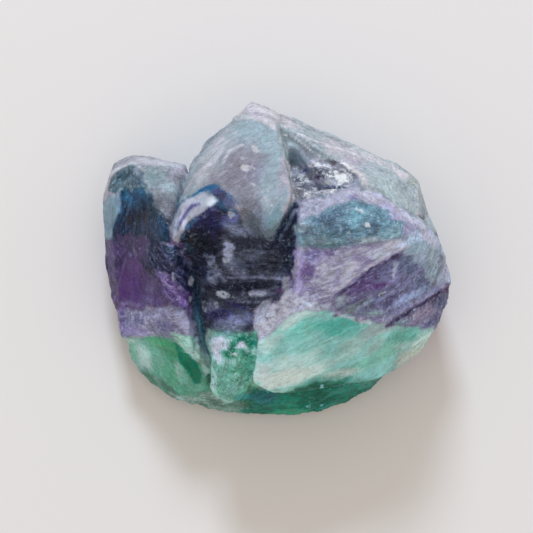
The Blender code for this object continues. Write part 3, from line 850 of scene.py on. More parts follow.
            ("pale lavender", 0.8, (23.5, 4.6), (2, 0.5), -45),
            ("pale lavender", 0.6, (3.9, 1.7), (1, 0.5), 0),
            ("lilac", 0.6, (4.6, -0.2), (1.8, 1.4), 0),
            ("indigo", 0.4, (5.5, 0.8), (1.1, 0.9), 0),
            ("violet", 0.5, (8.6, 1.2), (1.1, 0.45), 0),
            ("pale lavender", 0.6, (10, 0.2), (1.4, 1), 0),
            ("pale lavender", 0.8, (12.6, 1.3), (1.9, 0.7), 0),
            ("white lilac", 0.9, (17.7, 2.3), (2, 0.9), 10),
            ("frost", 0.9, (15.4, 0.9), (2, 0.7), 8),
            ("frost", 0.5, (7.8, -2.6), (1.3, 1.1), 0),
            ("frost", 0.95, (19.6, 2.2), (1.2, 0.7), 0),
            ("white lilac", 0.8, (11.3, -1.2), (1.7, 0.8), 30),
            ("frost", 0.7, (10.8, -2.5), (1.3, 0.8), 30),
            ("white lilac", 0.6, (7.8, -1.6), (1.4, 1.3), 40),
            ("violet", 0.65, (4.6, -1.8), (1.4, 1.3), 60),
            ("pale lavender", 0.7, (2.9, -1.4), (0.7, 1.4), 0),
            ("pale lavender", 0.6, (6.4, -3.6), (1.4, 0.9), 0),
            ("white lilac", 0.6, (8.6, -4.4), (1.6, 0.7), 10),
            ("lavender grey", 0.7, (6.2, -5.6), (2, 0.7), 10),
        ),
        (
            ("lavender grey", 0.7, 0.13, ((4.3, 8.2), (5.3, 6.8))),
            ("white lilac", 0.6, 0.13, ((7.5, 0.4), (6, -1.8), (5.5, -3.4))),
            ("white lilac", 0.8, 0.17, ((10.4, -3.6), (11.4, -2.4), (12.3, -1.8))),
            ("frost", 0.7, 0.1, ((8.4, -1.4), (9.8, -1), (11, -0.2))),
        ),
    ),
    Region(
        LOBE_STRIP, 15, 0.6, 0.3, -20, 0.2, 0.4, 0.5, 0.4, (1.0, 1.0, 1.0), "warm lilac",
        (
            ("lilac", 0.6, (17.2, 7.4), (2, 0.7), -38),
            ("slate lilac", 0.5, (20.8, 5), (1.8, 0.6), -38),
            ("slate", 0.5, (6, 8), (1.6, 0.5), 25),
            ("pale lavender", 0.8, (8.4, 9.2), (2.4, 0.7), 5),
            ("white lilac", 0.7, (21.4, 6), (2.2, 0.4), -38),
            ("indigo", 0.4, (11.8, 9.3), (1, 0.35), -12),
        ),
        (("white lilac", 0.7, 0.13, ((4.2, 8.6), (5.4, 7.2), (6.2, 6.6))),),
    ),
    Region(
        LOBE_TEAL, 15, 0.8, 0.5, 12, 0.2, 0.7, 0.5, 0.35, (0.92, 0.9, 0.87), "lagoon",
        (
            ("deep lagoon", 0.9, (7.3, 6.1), (1.2, 0.9), 0),
            ("deep lagoon", 0.75, (9.4, 7.3), (1.4, 0.7), 30),
            ("deep lagoon", 0.7, (9.8, 4.7), (2, 0.9), 0),
            ("deep lagoon", 0.8, (10.7, 2.9), (1.4, 0.5), -10),
            ("bright lagoon", 0.7, (12, 6.4), (1.1, 1.3), 10),
            ("bright lagoon", 0.8, (13.4, 7.6), (1.2, 0.8), -30),
            ("light teal", 0.8, (12.3, 8.7), (1.8, 0.5), -5),
            ("lagoon", 0.6, (15.4, 7.2), (1, 0.7), 0),
            ("silver", 0.7, (14.6, 2.8), (2.8, 0.8), 2),
            ("deep lagoon", 0.8, (14.5, 4.8), (1.2, 0.9), 0),
            ("light teal", 0.85, (16.8, 3.8), (1.7, 0.8), 10),
            ("sage blue", 0.8, (18.4, 4.4), (1.2, 0.9), 0),
            ("pale blue", 0.85, (3.7, 5), (1.4, 0.9), 0),
            ("blue grey", 0.8, (4.4, 3.9), (1.3, 0.35), 10),
            ("mist blue", 0.75, (6.2, 2.7), (1.9, 0.5), 0),
        ),
        (),
    ),
    Region(
        RIGHT_END, 10, 0.7, 0.3, 60, 0.3, 0.4, 0.7, 0.5, (1.4, 1.26, 1.24), "mist blue",
        (
            ("blue grey", 0.7, (22.4, -1.8), (1.4, 1.4), 0),
            ("sage blue", 0.7, (24.2, -0.4), (1.2, 2), 0),
            ("pale lavender", 0.7, (23.5, 3.1), (1.8, 0.9), -40),
            ("light teal", 0.6, (21.9, 2), (1.4, 1), 0),
            ("lavender grey", 0.8, (26.8, 0.4), (0.6, 3.2), 0),
        ),
        (("dark slate", 0.7, 0.18, ((25, 4), (25.8, 1.5), (25.9, -0.9), (24.6, -3.9))),),
    ),
    Region(
        PURPLE_FACE, 10, 0.6, 0.3, 32, 0.4, 0.7, 0.7, 0.3, (1.4, 1.65, 1.4), "dusky violet",
        (
            ("violet", 0.9, (13.4, -3.2), (2.2, 1), 30),
            ("deep magenta", 0.7, (15.2, -4.1), (1.9, 0.6), 12),
            ("dusk violet", 0.8, (16.8, -1.8), (1.6, 1.1), 20),
            ("indigo grey", 0.85, (20.1, -0.8), (1.4, 1.6), 0),
            ("pale lavender", 0.6, (18.2, -1.3), (0.35, 1.4), -5),
            ("dusk violet", 0.7, (17.9, -6), (1.6, 0.7), 20),
            ("blue lavender", 0.9, (20.1, -6.2), (2.4, 0.7), 28),
            ("blue lavender", 0.7, (22.9, -4.9), (1.9, 0.6), 32),
            ("indigo grey", 0.7, (22.2, -3.6), (1.4, 0.9), 30),
            ("violet", 0.8, (11.6, -5.2), (1.5, 0.8), 30),
            ("lavender grey", 0.7, (9.9, -6.2), (1.4, 0.7), 20),
            ("slate", 0.6, (9.4, -7.2), (1.2, 0.5), 20),
            ("slate", 0.9, (11.2, -8), (2, 0.7), 15),
            ("dark slate", 0.8, (13.4, -7), (1.7, 0.6), 26),
            ("sage grey", 0.6, (14.6, -8.4), (1.8, 0.5), 20),
        ),
        (
            # A painted shadow under the ridge in deep violet, and a painted highlight along the ridge in
            # white lilac.
            ("deep violet", 0.95, 0.45, ((9.8, -5.1), (13.8, -2.3), (16.5, -0.3), (18.6, 0.6))),
            ("white lilac", 0.9, 0.2, ((9.4, -4.4), (13.5, -1.4), (16.4, 0.6), (18.9, 1.6))),
            ("blue lavender", 0.6, 0.14, ((12.4, -7.6), (15, -6.2), (18, -5.2))),
        ),
    ),
    Region(
        BROWN_FACE, 8, 0.35, 0.2, 27, 0.5, 0.8, 0.5, 0.5, (0.95, 1.1, 1.12), "plum grey",
        (
            ("rose grey", 0.8, (23.3, -8.1), (2, 0.7), 25),
            ("dusk violet", 0.8, (24.4, -9.8), (1.6, 0.5), 20),
            ("dusk violet", 0.8, (25.8, -6.5), (1.3, 1), 60),
            ("sage", 0.5, (19.4, -9.8), (1.4, 0.4), 10),
        ),
        (
            ("deep violet", 0.95, 0.22, ((17.8, -9.8), (22.4, -7.2), (25.3, -5.2), (27.2, -4.2))),
            ("blue lavender", 0.9, 0.26, ((17, -9.1), (20.4, -7.2), (23.5, -5.5), (26.4, -4.1))),
        ),
    ),
    Region(
        BROW, 12, 0.5, 0.4, 30, 0.1, 0.3, 0.3, 0.25, (1.33, 1.19, 1.22), "aqua",
        (
            ("pale aqua", 0.7, (4.6, -8), (1.5, 0.8), 0),
            ("white aqua", 0.8, (2.6, -9.2), (2.2, 0.8), 35),
            ("cream", 0.9, (-3.2, -11.8), (0.8, 1), 0),
            ("pale aqua", 0.9, (-3.6, -15), (0.6, 2.4), 0),
            ("turquoise", 1.0, (9, -10.5), (2.8, 1.4), -4),
            ("turquoise", 0.9, (11.4, -9.6), (1.8, 0.7), -12),
            ("turquoise", 0.4, (4.6, -10.4), (2.6, 1.2), 20),
            ("pale aqua", 0.9, (-1.2, -12.8), (1.9, 1.2), 45),
            ("aqua", 0.8, (7.8, -13), (2.4, 1), 15),
            ("sage grey", 0.9, (14.7, -11), (2.2, 1), 20),
            ("sage grey", 0.9, (17, -10.6), (1.6, 0.7), 5),
            ("sage aqua", 0.85, (11.8, -13.3), (2.4, 1), 30),
            ("sage aqua", 0.85, (15.6, -13.3), (2, 1), 30),
            ("glade", 1.0, (20.1, -12), (2.8, 1.3), 18),
            ("glade", 0.8, (22, -11.2), (1.6, 0.6), 10),
            ("jade", 0.95, (17.9, -13.9), (2.6, 1.1), 30),
            ("jade", 0.7, (14.5, -16), (3, 0.9), 18),
            ("stone grey", 0.85, (21.4, -15.3), (2.6, 0.9), 32),
            ("pale green", 0.9, (23.6, -12.2), (1.7, 0.5), 45),
            # Along the brow's thin front edge these pale washes are pale green stone with painted light
            # shining through.
            ("pale aqua", 0.95, (1, -15.8), (2.6, 1.3), 20),
            ("pale aqua", 0.85, (4.4, -15.3), (2.6, 1), 25),
            ("pale aqua", 0.75, (7, -16.2), (2.6, 0.9), 15),
            ("mint cream", 1.0, (2.3, -18), (3.4, 1.4), 14),
            ("mint cream", 0.95, (-0.8, -19), (2.4, 1.1), -16),
            ("mint cream", 0.7, (5.8, -17.3), (2.4, 0.8), 20),
            ("pale green", 0.8, (9.6, -17.9), (3, 0.9), 10),
            ("white aqua", 0.8, (-2.3, -17.4), (1.2, 1.6), 0),
            ("pale aqua", 0.5, (10.6, -15), (2.6, 0.6), 28),
        ),
        (
            ("white lilac", 0.8, 0.16, ((4.6, -7.2), (6.9, -7), (9, -8.2), (11.4, -9), (14.5, -9.7))),
            # A pale line of painted light along the thin front edge.
            ("cream", 0.6, 0.2, ((-3.8, -19.4), (-1, -20.8), (2.6, -20.2))),
        ),
    ),
    Region(
        BROW_END, 3, 1.2, 0.6, 30, 0.1, 0.4, 0.3, 0.2, (1.2, 1.15, 1.15), "sage aqua",
        (
            ("glade", 0.9, (20.4, -12), (2, 1), 18),
            ("stone grey", 0.85, (21.4, -15.3), (2.6, 1.1), 32),
            ("pale green", 0.8, (24, -12.6), (1.7, 0.7), 45),
        ),
        (("cream", 0.6, 0.14, ((21.6, -13.4), (23.6, -12.2), (24.8, -11.4))),),
    ),
    Region(
        CREST, 14, 0.35, 0.25, 50, 0.8, 0.4, 0.9, 0.8, (1.44, 1.45, 1.47), "lavender grey",
        (
            ("warm grey", 0.6, (-2.4, -8), (1, 0.9), 0),
            ("white lilac", 0.85, (-0.6, -8.9), (1, 0.8), 30),
            ("white lilac", 0.9, (-1.8, -10.3), (1.3, 0.9), 50),
            ("warm grey", 0.6, (1.6, -6.1), (1.3, 0.8), 0),
            ("white lilac", 0.9, (3.8, -6.5), (1.5, 0.7), 0),
            ("frost", 0.9, (6.4, -7), (1.6, 0.7), -10),
            ("dark slate", 0.7, (-1.5, -8.9), (0.4, 0.5), 0),
            ("dark slate", 0.6, (0.2, -7.4), (0.6, 0.35), 40),
            ("white lilac", 0.7, (1.2, -8), (1.1, 0.5), 40),
            ("frost", 0.8, (1.4, -3.9), (0.5, 1.4), 8),
        ),
        (),
    ),
    Region(
        TONGUE, 11, 0.3, 0.2, 95, 0.2, 0.3, 1.0, 0.35, (1.02, 1.0, 1.0), "jade",
        (
            ("pale aqua", 0.85, (-9.8, -19.4), (0.6, 2.6), 0),
            ("pale aqua", 0.7, (-8, -22), (1.7, 0.6), -10),
            ("aqua", 0.6, (-6.4, -20), (1.2, 1), 0),
            ("sea green", 0.8, (-4.5, -17.6), (0.9, 1.7), 0),
            ("leaf green", 0.5, (-6.3, -17.2), (0.9, 0.4), 0),
            ("fern", 0.8, (-6.3, -15), (1.2, 1), 0),
            ("sea green", 0.7, (-5.2, -16), (1.2, 0.7), 0),
            ("pale aqua", 0.7, (-7.4, -15.6), (1.4, 0.6), 0),
            ("frost", 1.0, (-9.2, -13.8), (1.1, 2.0), 8),
            ("glass green", 1.0, (-7.3, -14.2), (1.2, 1.0), 30),
            ("glass green", 1.0, (-6, -13), (1.7, 0.8), 20),
            ("glass green", 0.9, (-3.9, -12.5), (1.1, 1.0), 0),
            ("glass green", 0.7, (-4.8, -14.6), (1.2, 0.5), -20),
            ("white lilac", 1.0, (-5.5, -13.5), (0.9, 0.35), -25),
            ("pale aqua", 0.7, (-3.5, -14), (0.5, 0.7), 0),
            ("white lilac", 0.9, (-8.6, -11.6), (1.2, 0.7), 0),
            ("frost", 0.9, (-8.2, -13.1), (1, 1), 0),
        ),
        (("pale aqua", 0.7, 0.18, ((-10, -17), (-10, -20.2), (-9, -21.6))),),
    ),
    Region(
        LEFT_FOOTING, 1.5, 0.35, 0.2, 108, 0.1, 0.35, 0.3, 0.2, (0.92, 0.98, 1.06), "fern",
        (
            ("pale green", 1.0, (-21.4, -15.6), (2.6, 1.7), 104),
            ("pale green", 0.85, (-21.4, -17), (1.4, 0.9), 110),
            ("pale jade", 0.8, (-23, -14.6), (2, 0.7), 110),
            ("cream", 0.8, (-23.2, -12.8), (1.6, 0.4), 0),
            ("spring leaf", 1.0, (-18.2, -13), (1.9, 1), -10),
            ("leaf green", 0.95, (-16.4, -14.6), (1.8, 1), 112),
            ("pale jade", 0.85, (-18.7, -16), (2.4, 0.7), 103),
            ("leaf green", 0.85, (-15.3, -14), (1.2, 0.8), -50),
            ("pale green", 0.55, (-15.4, -17.2), (1.6, 0.6), 104),
            ("pale jade", 0.8, (-14.3, -18.6), (1.2, 0.9), 0),
            ("green grey", 0.8, (-19.1, -19.4), (1.3, 0.8), -45),
            ("moss", 0.95, (-17.3, -20.4), (1.8, 0.8), -45),
            ("moss", 0.9, (-20.4, -18.7), (2, 0.6), -48),
            ("pale green", 0.8, (-11, -17), (1.4, 0.5), 100),
            ("pale jade", 0.6, (-12.6, -20.2), (1.6, 0.6), 0),
        ),
        (
            ("pale jade", 0.6, 0.14, ((-19.5, -12.8), (-17.8, -15.5), (-17.4, -18.4))),
            ("leaf green", 0.5, 0.14, ((-17.2, -13.2), (-16.4, -16), (-16.6, -19))),
            ("pale green", 0.5, 0.1, ((-16.2, -16.6), (-15.6, -18), (-15, -19.6))),
        ),
    ),
    Region(
        FOOTING_GLASS, 5, 0.25, 0.08, 108, 0.0, 0.2, 0.1, 0.0, (0.1, 0.95, 0.98), "glass green",
        (("leaf green", 0.6, (-14.6, -14.6), (1.2, 0.6), -50),),
        (),
    ),
    Region(
        BASE_STRIP, -9, 0.6, 0.7, -8, 0.45, 0.8, 0.4, 0.5, (0.82, 0.94, 0.9), "green grey",
        (
            ("pale green", 0.6, (-13.6, -22.2), (2.2, 0.5), -8),
            ("pale aqua", 0.5, (-14.2, -21.4), (1.3, 0.4), 15),
            ("grey moss light", 0.7, (-7, -23.4), (2.4, 0.5), -5),
        ),
        (
            ("white aqua", 0.7, 0.12, ((-16.7, -21.7), (-14.8, -22.4), (-12.4, -22.2))),
            ("moss", 0.7, 0.1, ((-15.6, -22.6), (-12.6, -23.3), (-9.6, -23.4))),
            ("moss", 0.6, 0.1, ((-12.6, -21.5), (-10.6, -22.2), (-9.2, -23))),
        ),
    ),
    # The front footing under the brow: green stone with the shade under the overhang painted into its bottle
    # greens.
    Region(
        FRONT_FOOTING, -9, 2.6, 0.9, 14, 0.15, 0.4, 0.35, 0.15, (0.57, 1.38, 1.36), "bottle green",
        (
            ("deep bottle", 0.95, (6.8, -19.8), (2.8, 0.8), 0),
            ("deep bottle", 0.85, (7.3, -22), (1.9, 1), 0),
            ("bottle light", 0.85, (1, -22.2), (2.6, 1), -12),
            ("blue green", 0.95, (-2.6, -21.8), (2.2, 1.1), -20),
            ("moss green", 0.85, (2.8, -24.2), (3.4, 0.5), 0),
            ("grey moss", 0.9, (11.2, -20.6), (1.8, 0.9), 20),
            ("grey moss light", 0.85, (14.6, -19.7), (1.8, 0.8), 30),
            ("grey moss", 0.7, (9.6, -23), (2, 0.5), 20),
        ),
        (
            ("grey moss light", 0.6, 0.12, ((7.6, -22.4), (9.1, -21.2), (11.1, -20))),
            ("moss green", 0.4, 0.1, ((-1.4, -23.2), (2.4, -23), (6.2, -23.8))),
            ("grey moss light", 0.4, 0.09, ((3.4, -21.4), (6, -20.8), (8.6, -20.8))),
        ),
    ),
)

# Sharp ledges: height in mm, how far they fade out, and points; the left side of the line stands higher
LEDGES = (
    (0.4, 2.4, ((9.2, -4.9), (13.5, -1.8), (16.5, 0.2), (19.4, 1.4))),
    (0.35, 1.4, ((16.8, -9.7), (20.4, -7.6), (23.5, -5.8), (26.6, -4.3))),
    (0.22, 1.2, ((-7, 22), (-3.9, 22), (-2, 21.3), (0.2, 20.1))),
    (0.3, 1.6, ((-16.1, 5), (-18.2, 8.1), (-20, 11.2), (-22.5, 15.2))),
    (0.22, 0.9, ((-24.8, 9.6), (-24.1, 11), (-22.5, 11.3), (-20.5, 11.2))),
    (0.14, 1.2, ((-23.8, 0.4), (-24.5, -2.4), (-25.4, -5.4))),
    (0.14, 1.2, ((-20.6, -6.2), (-20, -3.2), (-21.6, 0.6))),
    (0.3, 1.2, ((-28, -12.2), (-22, -12.5), (-18.2, -11.8), (-15.1, -13.6), (-12.2, -15.8))),
    (0.25, 1.6, ((-18.9, -1.6), (-16, -4.6), (-13.2, -8))),
    (0.2, 1.2, ((-13.3, -19.8), (-14.2, -16.6), (-15.6, -14.2))),
    (0.22, 1.4, ((7.4, -22.6), (9.1, -21.2), (11.3, -20))),
    (0.22, 1.6, ((3.2, 5.4), (7, 3.2), (10.4, 1.8), (16, 2.6), (19.8, 3.6))),
    (0.2, 1.6, ((7.8, -7.4), (11, -3.4), (12.4, -1.6))),
    (0.25, 2.0, ((15.4, -17.4), (17.6, -13.6), (18, -10.4))),
    (0.22, 1.4, ((-2.9, 2.4), (-5.4, 8), (-8.7, 12.6), (-12.4, 16.8))),
)

# Painted light and shade: spots painted brighter or darker than their region, for the light and shade that
# fall there: factor, middle, half lengths and angle
PAINTED_LIGHT_SPOTS = (
    (1.8, (5.4, 14), (2.4, 1.2), -42),
    (3.2, (3, 16.6), (1.7, 1.1), -50),
    (1.4, (4.8, 14.9), (1.3, 0.8), -40),
    (3.5, (7.8, 11.8), (1.3, 0.6), -10),
    (0.75, (9.6, 13.2), (1.4, 0.9), -20),
    (0.65, (3.9, 11.3), (1.5, 2), 0),
    (0.35, (-8.1, 3.7), (1.2, 1), 0),
    (0.5, (-11.8, 3.2), (2, 2), 0),
    (0.6, (-1.4, -0.2), (1.8, 1.6), 0),
    (2.2, (0.7, -3.6), (1.3, 2.5), -15),
    (1.9, (3.1, 0), (0.8, 5.6), 0),
    (1.35, (0.6, -8.6), (3.4, 2), -25),
    (1.4, (-2.4, -11.8), (1.6, 0.9), -45),
    (0.5, (-19.6, 8), (1.8, 2.2), 0),
    (0.8, (-21.6, 5.2), (2, 2.4), 0),
    (2.2, (-12.8, -11.2), (0.9, 3.8), 0),
    (1.2, (-3.5, -16.2), (0.6, 4.8), 0),
    (1.7, (-5, -21.3), (1.2, 0.8), 40),
    (1.8, (-14.3, -5.5), (0.9, 1.6), 0),
    (1.25, (22.6, -11.6), (3.4, 2.2), 40),
    (2.4, (-3.4, -19.4), (0.8, 1.2), 0),
    (1.5, (-20.5, -11.7), (2, 0.5), 0),
    (1.8, (-15.8, 2.4), (0.9, 0.9), 0),
    (1.8, (-5.4, 7), (1.7, 1), -10),
    (1.7, (-9.6, 8), (0.9, 1.2), 0),
    (1.5, (-14.3, 5.5), (0.9, 0.9), 0),
    (1.7, (17.4, -2.1), (1.4, 1.3), 0),
    (2, (-11.6, -2.3), (1.5, 1.7), 0),
    (1.5, (-9.8, -21), (0.8, 1.4), 0),
    (1.5, (-5, -8.6), (2.2, 1.2), 0),
    (1.3, (-7, 5.8), (1.4, 1.4), 0),
    (1.3, (-7.3, 1.6), (0.8, 2), 0),
    (1.3, (5.4, -0.8), (2.4, 2), 0),
    (1.35, (-9.2, -13.8), (1, 1.8), 0),
    (1.3, (-21.8, -14.6), (2.4, 1.2), 0),
    (1.2, (19, -7), (3, 0.9), 28),
)

# Bruised spots: strength, middle, half lengths, and the angle of the longer way
BRUISES = (
    (1.0, (-6.85, 6.9), (0.72, 0.52), 90),
    (0.9, (-3.2, 17.1), (0.9, 0.4), -42),
    (1.0, (-4.7, 14.05), (0.85, 0.5), -15),
    (0.8, (-3.4, 13.9), (0.55, 0.24), -40),
    (0.8, (-6.4, 19.7), (0.5, 0.34), 20),
    (0.7, (-3.5, 12.9), (0.4, 0.24), -50),
    (0.7, (-3.5, 11.4), (0.55, 0.3), -35),
    (0.7, (-1.25, 10.4), (0.4, 0.3), 0),
    (0.75, (-1.6, 9), (0.7, 0.34), -30),
    (0.6, (-0.7, 8.2), (0.4, 0.24), -30),
    (0.7, (-5.4, 17.7), (0.45, 0.24), 0),
    (0.5, (-5.2, 15.6), (0.5, 0.5), 0),
    (0.4, (-4.7, 3.7), (0.3, 0.55), 0),
    (0.95, (-8.3, -5.4), (1.15, 0.6), -12),
    (0.7, (-2.3, -5.4), (0.7, 0.3), 0),
    (0.65, (-7.6, 0), (0.7, 0.6), 0),
    (0.9, (-13.3, -3.2), (0.5, 0.8), 0),
    (0.9, (-13.4, -6), (0.32, 0.6), 0),
    (0.7, (-15.8, -2.5), (0.4, 0.75), 25),
    (0.6, (-11.3, -6.5), (0.35, 0.35), 0),
    (0.55, (-11, -7.6), (0.75, 0.35), -60),
    (0.45, (-9.2, -7), (0.4, 0.8), 0),
    (0.95, (7.8, 11.9), (1.05, 0.5), -14),
    (0.85, (10, 12.6), (1.2, 0.85), -20),
    (0.75, (9, 13.5), (0.5, 0.3), 20),
    (0.85, (11.9, 13.7), (2.1, 0.36), -43),
    (0.85, (13.9, 10.3), (2.1, 0.15), -16),
    (0.8, (1.4, 19.4), (0.5, 0.24), -12),
    (0.8, (21.9, 9.9), (0.6, 0.34), -35),
    (0.85, (12.6, 7.5), (0.85, 0.32), -22),
    (0.85, (13.8, 5.3), (0.62, 0.4), -30),
    (0.5, (10.9, 4.1), (0.4, 0.4), 0),
    (0.7, (16.3, -5.2), (0.75, 0.28), 25),
    (0.5, (18.1, -2.8), (0.28, 0.55), 0),
    (0.5, (12.9, -9.7), (0.45, 0.5), 0),
    (0.85, (7.1, -19.9), (0.34, 0.62), 5),
    (0.85, (5.2, -23.3), (0.5, 0.2), -12),
    (0.85, (7.4, -23.3), (0.42, 0.2), 12),
    (0.8, (1.3, -3.5), (0.4, 1.3), 0),
    (0.75, (-10.2, 9), (1, 0.9), 20),
    (0.8, (-5.4, -13.3), (0.9, 0.4), -25),
    (0.7, (-6.4, -14.6), (0.6, 0.3), -20),
    (0.6, (-4.6, -14.2), (0.5, 0.25), -10),
    (0.6, (-7.2, -12.4), (0.5, 0.3), 10),
)


def merged_copy(node):
    """A copy of the node's mesh with its loose triangles joined."""
    shape = bmesh.new()
    shape.from_mesh(node.data)
    bmesh.ops.remove_doubles(shape, verts=shape.verts, dist=MERGE_REACH * MM)
    mesh = bpy.data.meshes.new("fluorite_chunk")
    shape.to_mesh(mesh)
    shape.free()
    piece = bpy.data.objects.new("fluorite_chunk", mesh)
    bpy.context.scene.collection.objects.link(piece)
    return piece


def bake(piece):
    """Replaces the piece's mesh by what its modifiers make of it."""
    evaluated = piece.evaluated_get(bpy.context.evaluated_depsgraph_get())
    mesh = bpy.data.meshes.new_from_object(evaluated)
    piece.modifiers.clear()
    piece.data = mesh


def refine(piece):
    """Covers the piece with small even faces, and takes the hard corners off them."""
    remesh = piece.modifiers.new("even faces", "REMESH")
    remesh.mode = "VOXEL"
    remesh.voxel_size = VOXEL * MM
    smooth = piece.modifiers.new("soften", "SMOOTH")
    smooth.factor = SOFTENING
    smooth.iterations = ROUNDING
    bake(piece)


def layer_values(layer, name, width):
    """The values of a mesh layer, one row for each item."""
    kind = np.int32 if name == "vertices" else np.float32
    values = np.empty(len(layer) * width, dtype=kind)
    layer.foreach_get(name, values)
    return values.reshape(-1, width).astype(float)


def ramp(values, low, high):
    """Rises smoothly from 0 at low to 1 at high."""
    share = np.clip((values - low) / (high - low), 0.0, 1.0)
    return share * share * (3.0 - 2.0 * share)


def lattice(places, seed):
    """Smooth noise from -1 to 1 over random numbers at whole places."""
    table = np.random.default_rng(seed).uniform(-1.0, 1.0, (LATTICE, LATTICE, LATTICE))
    cells = np.floor(places).astype(int)
    share = places - cells
    share = share * share * (3.0 - 2.0 * share)
    total = np.zeros(len(places))
    for corner in itertools.product((0, 1), repeat=3):
        weight = np.prod(np.where(corner, share, 1.0 - share), axis=1)
        total += weight * table[tuple(((cells + corner) % LATTICE).T)]
    return total


def cloud(places, size, seed, octaves=3):
    """Even noise of that size, with finer noise over it."""
    total = np.zeros(len(places))
    for octave in range(octaves):
        fineness = 2.0**octave
        total += lattice(places / size * fineness, seed + octave) / fineness
    return total


def cell_tilts(places, seed):
    """For each place, the way from its cell's middle and a random tilt for the cell."""
    rng = np.random.default_rng(seed)
    middles = rng.uniform(CELL_MARGIN, 1.0 - CELL_MARGIN, (LATTICE, LATTICE, LATTICE, 3))
    tilts = rng.uniform(-1.0, 1.0, (LATTICE, LATTICE, LATTICE, 3))
    cells = np.floor(places).astype(int)
    best = np.full(len(places), np.inf)
    way = np.zeros((len(places), 3))
    tilt = np.zeros((len(places), 3))
    for step in itertools.product((-1, 0, 1), repeat=3):
        index = tuple(((cells + step) % LATTICE).T)
        reach = places - (cells + step + middles[index])
        distance = np.linalg.norm(reach, axis=1)
        nearer = distance < best
        best = np.where(nearer, distance, best)
        way[nearer] = reach[nearer]
        tilt[nearer] = tilts[index][nearer]
    return way, tilt


def facets(points, size, seed):
    """Heights of small tilted facets, one to each cell of that size."""
    way, tilt = cell_tilts(points / size, seed)
    return (way * tilt).sum(axis=1) * size


def cleavage(points, normals):
    """Moves along the four cleavage directions that turn slanting faces into flat treads and short risers."""
    height = np.zeros(len(points))
    shift = CLEAVAGE_SWAY * cloud(points, CLEAVAGE_SWAY_SIZE, SEEDS["cleavage"], 2)
    for number, plane in enumerate(CLEAVAGE):
        towards = normals @ plane
        level = points @ plane / CLEAVAGE_STEP + shift + CLEAVAGE_OFFSET * number
        tread = np.floor(level)
        snapped = tread + ramp(level - tread, RISER_START, 1.0)
        way = ramp(np.abs(towards), *CLEAVAGE_FACING) * np.sign(towards)
        height += way * (snapped - level + TREAD_LEVEL) * CLEAVAGE_STEP
    return height


def ledge_height(spots, height, reach, line):
    """Raised to the left of a line and lowered to its right, fading out away from it."""
    points = np.array(line, dtype=float)
    nearest = np.full(len(spots), np.inf)
    side = np.zeros(len(spots))
    for start, end in zip(points[:-1], points[1:]):
        way = end - start
        off = spots - start
        share = np.clip(off @ way / (way @ way), 0.0, 1.0)
        distance = np.hypot(*(off - share[:, None] * way).T)
        closer = distance < nearest
        nearest = np.where(closer, distance, nearest)
        side = np.where(closer, (way[0] * off[:, 1] - way[1] * off[:, 0]) / np.hypot(*way), side)
    return height * np.clip(side / LEDGE_EDGE, -1.0, 1.0) * np.exp(-nearest / reach)


def saw(values):
    """A slow rise from 0 to 1 and a steep fall, once in each whole step."""
    share = values - np.floor(values)
    return np.minimum(share / SAW_RISE, (1.0 - share) / (1.0 - SAW_RISE))


def inside_depth(spots, outline):
    """How far inside the outline each spot lies; outside it is negative."""
    corners = np.array(outline, dtype=float)
    nearest = np.full(len(spots), np.inf)
    inside = np.zeros(len(spots), dtype=bool)
    for start, end in zip(corners, np.roll(corners, -1, axis=0)):
        side = end - start
        reach = spots - start
        share = np.clip(reach @ side / (side @ side), 0.0, 1.0)
        nearest = np.minimum(nearest, np.hypot(*(reach - share[:, None] * side).T))
        crosses = (start[1] > spots[:, 1]) != (end[1] > spots[:, 1])
        rise = side[1] if side[1] else 1.0
        inside ^= crosses & (spots[:, 0] < start[0] + side[0] * (spots[:, 1] - start[1]) / rise)
    return np.where(inside, nearest, -nearest)


def line_depth(spots, line, half_width):
    """One on a line's middle, nought at its sides, and negative past them."""
    nearest = np.full(len(spots), np.inf)
    points = np.array(line, dtype=float)
    for start, end in zip(points[:-1], points[1:]):
        side = end - start
        reach = spots - start
        share = np.clip(reach @ side / (side @ side), 0.0, 1.0)
        nearest = np.minimum(nearest, np.hypot(*(reach - share[:, None] * side).T))
    return 1.0 - nearest / half_width


def spot_depth(spots, middle, halves, angle):
    """One in a spot's middle, nought at its border, and negative past it."""
    turn = math.radians(angle)
    reach = spots - np.array(middle)
    longer = reach @ np.array((math.cos(turn), math.sin(turn))) / halves[0]
    shorter = reach @ np.array((-math.sin(turn), math.cos(turn))) / halves[1]
    return 1.0 - np.hypot(longer, shorter)


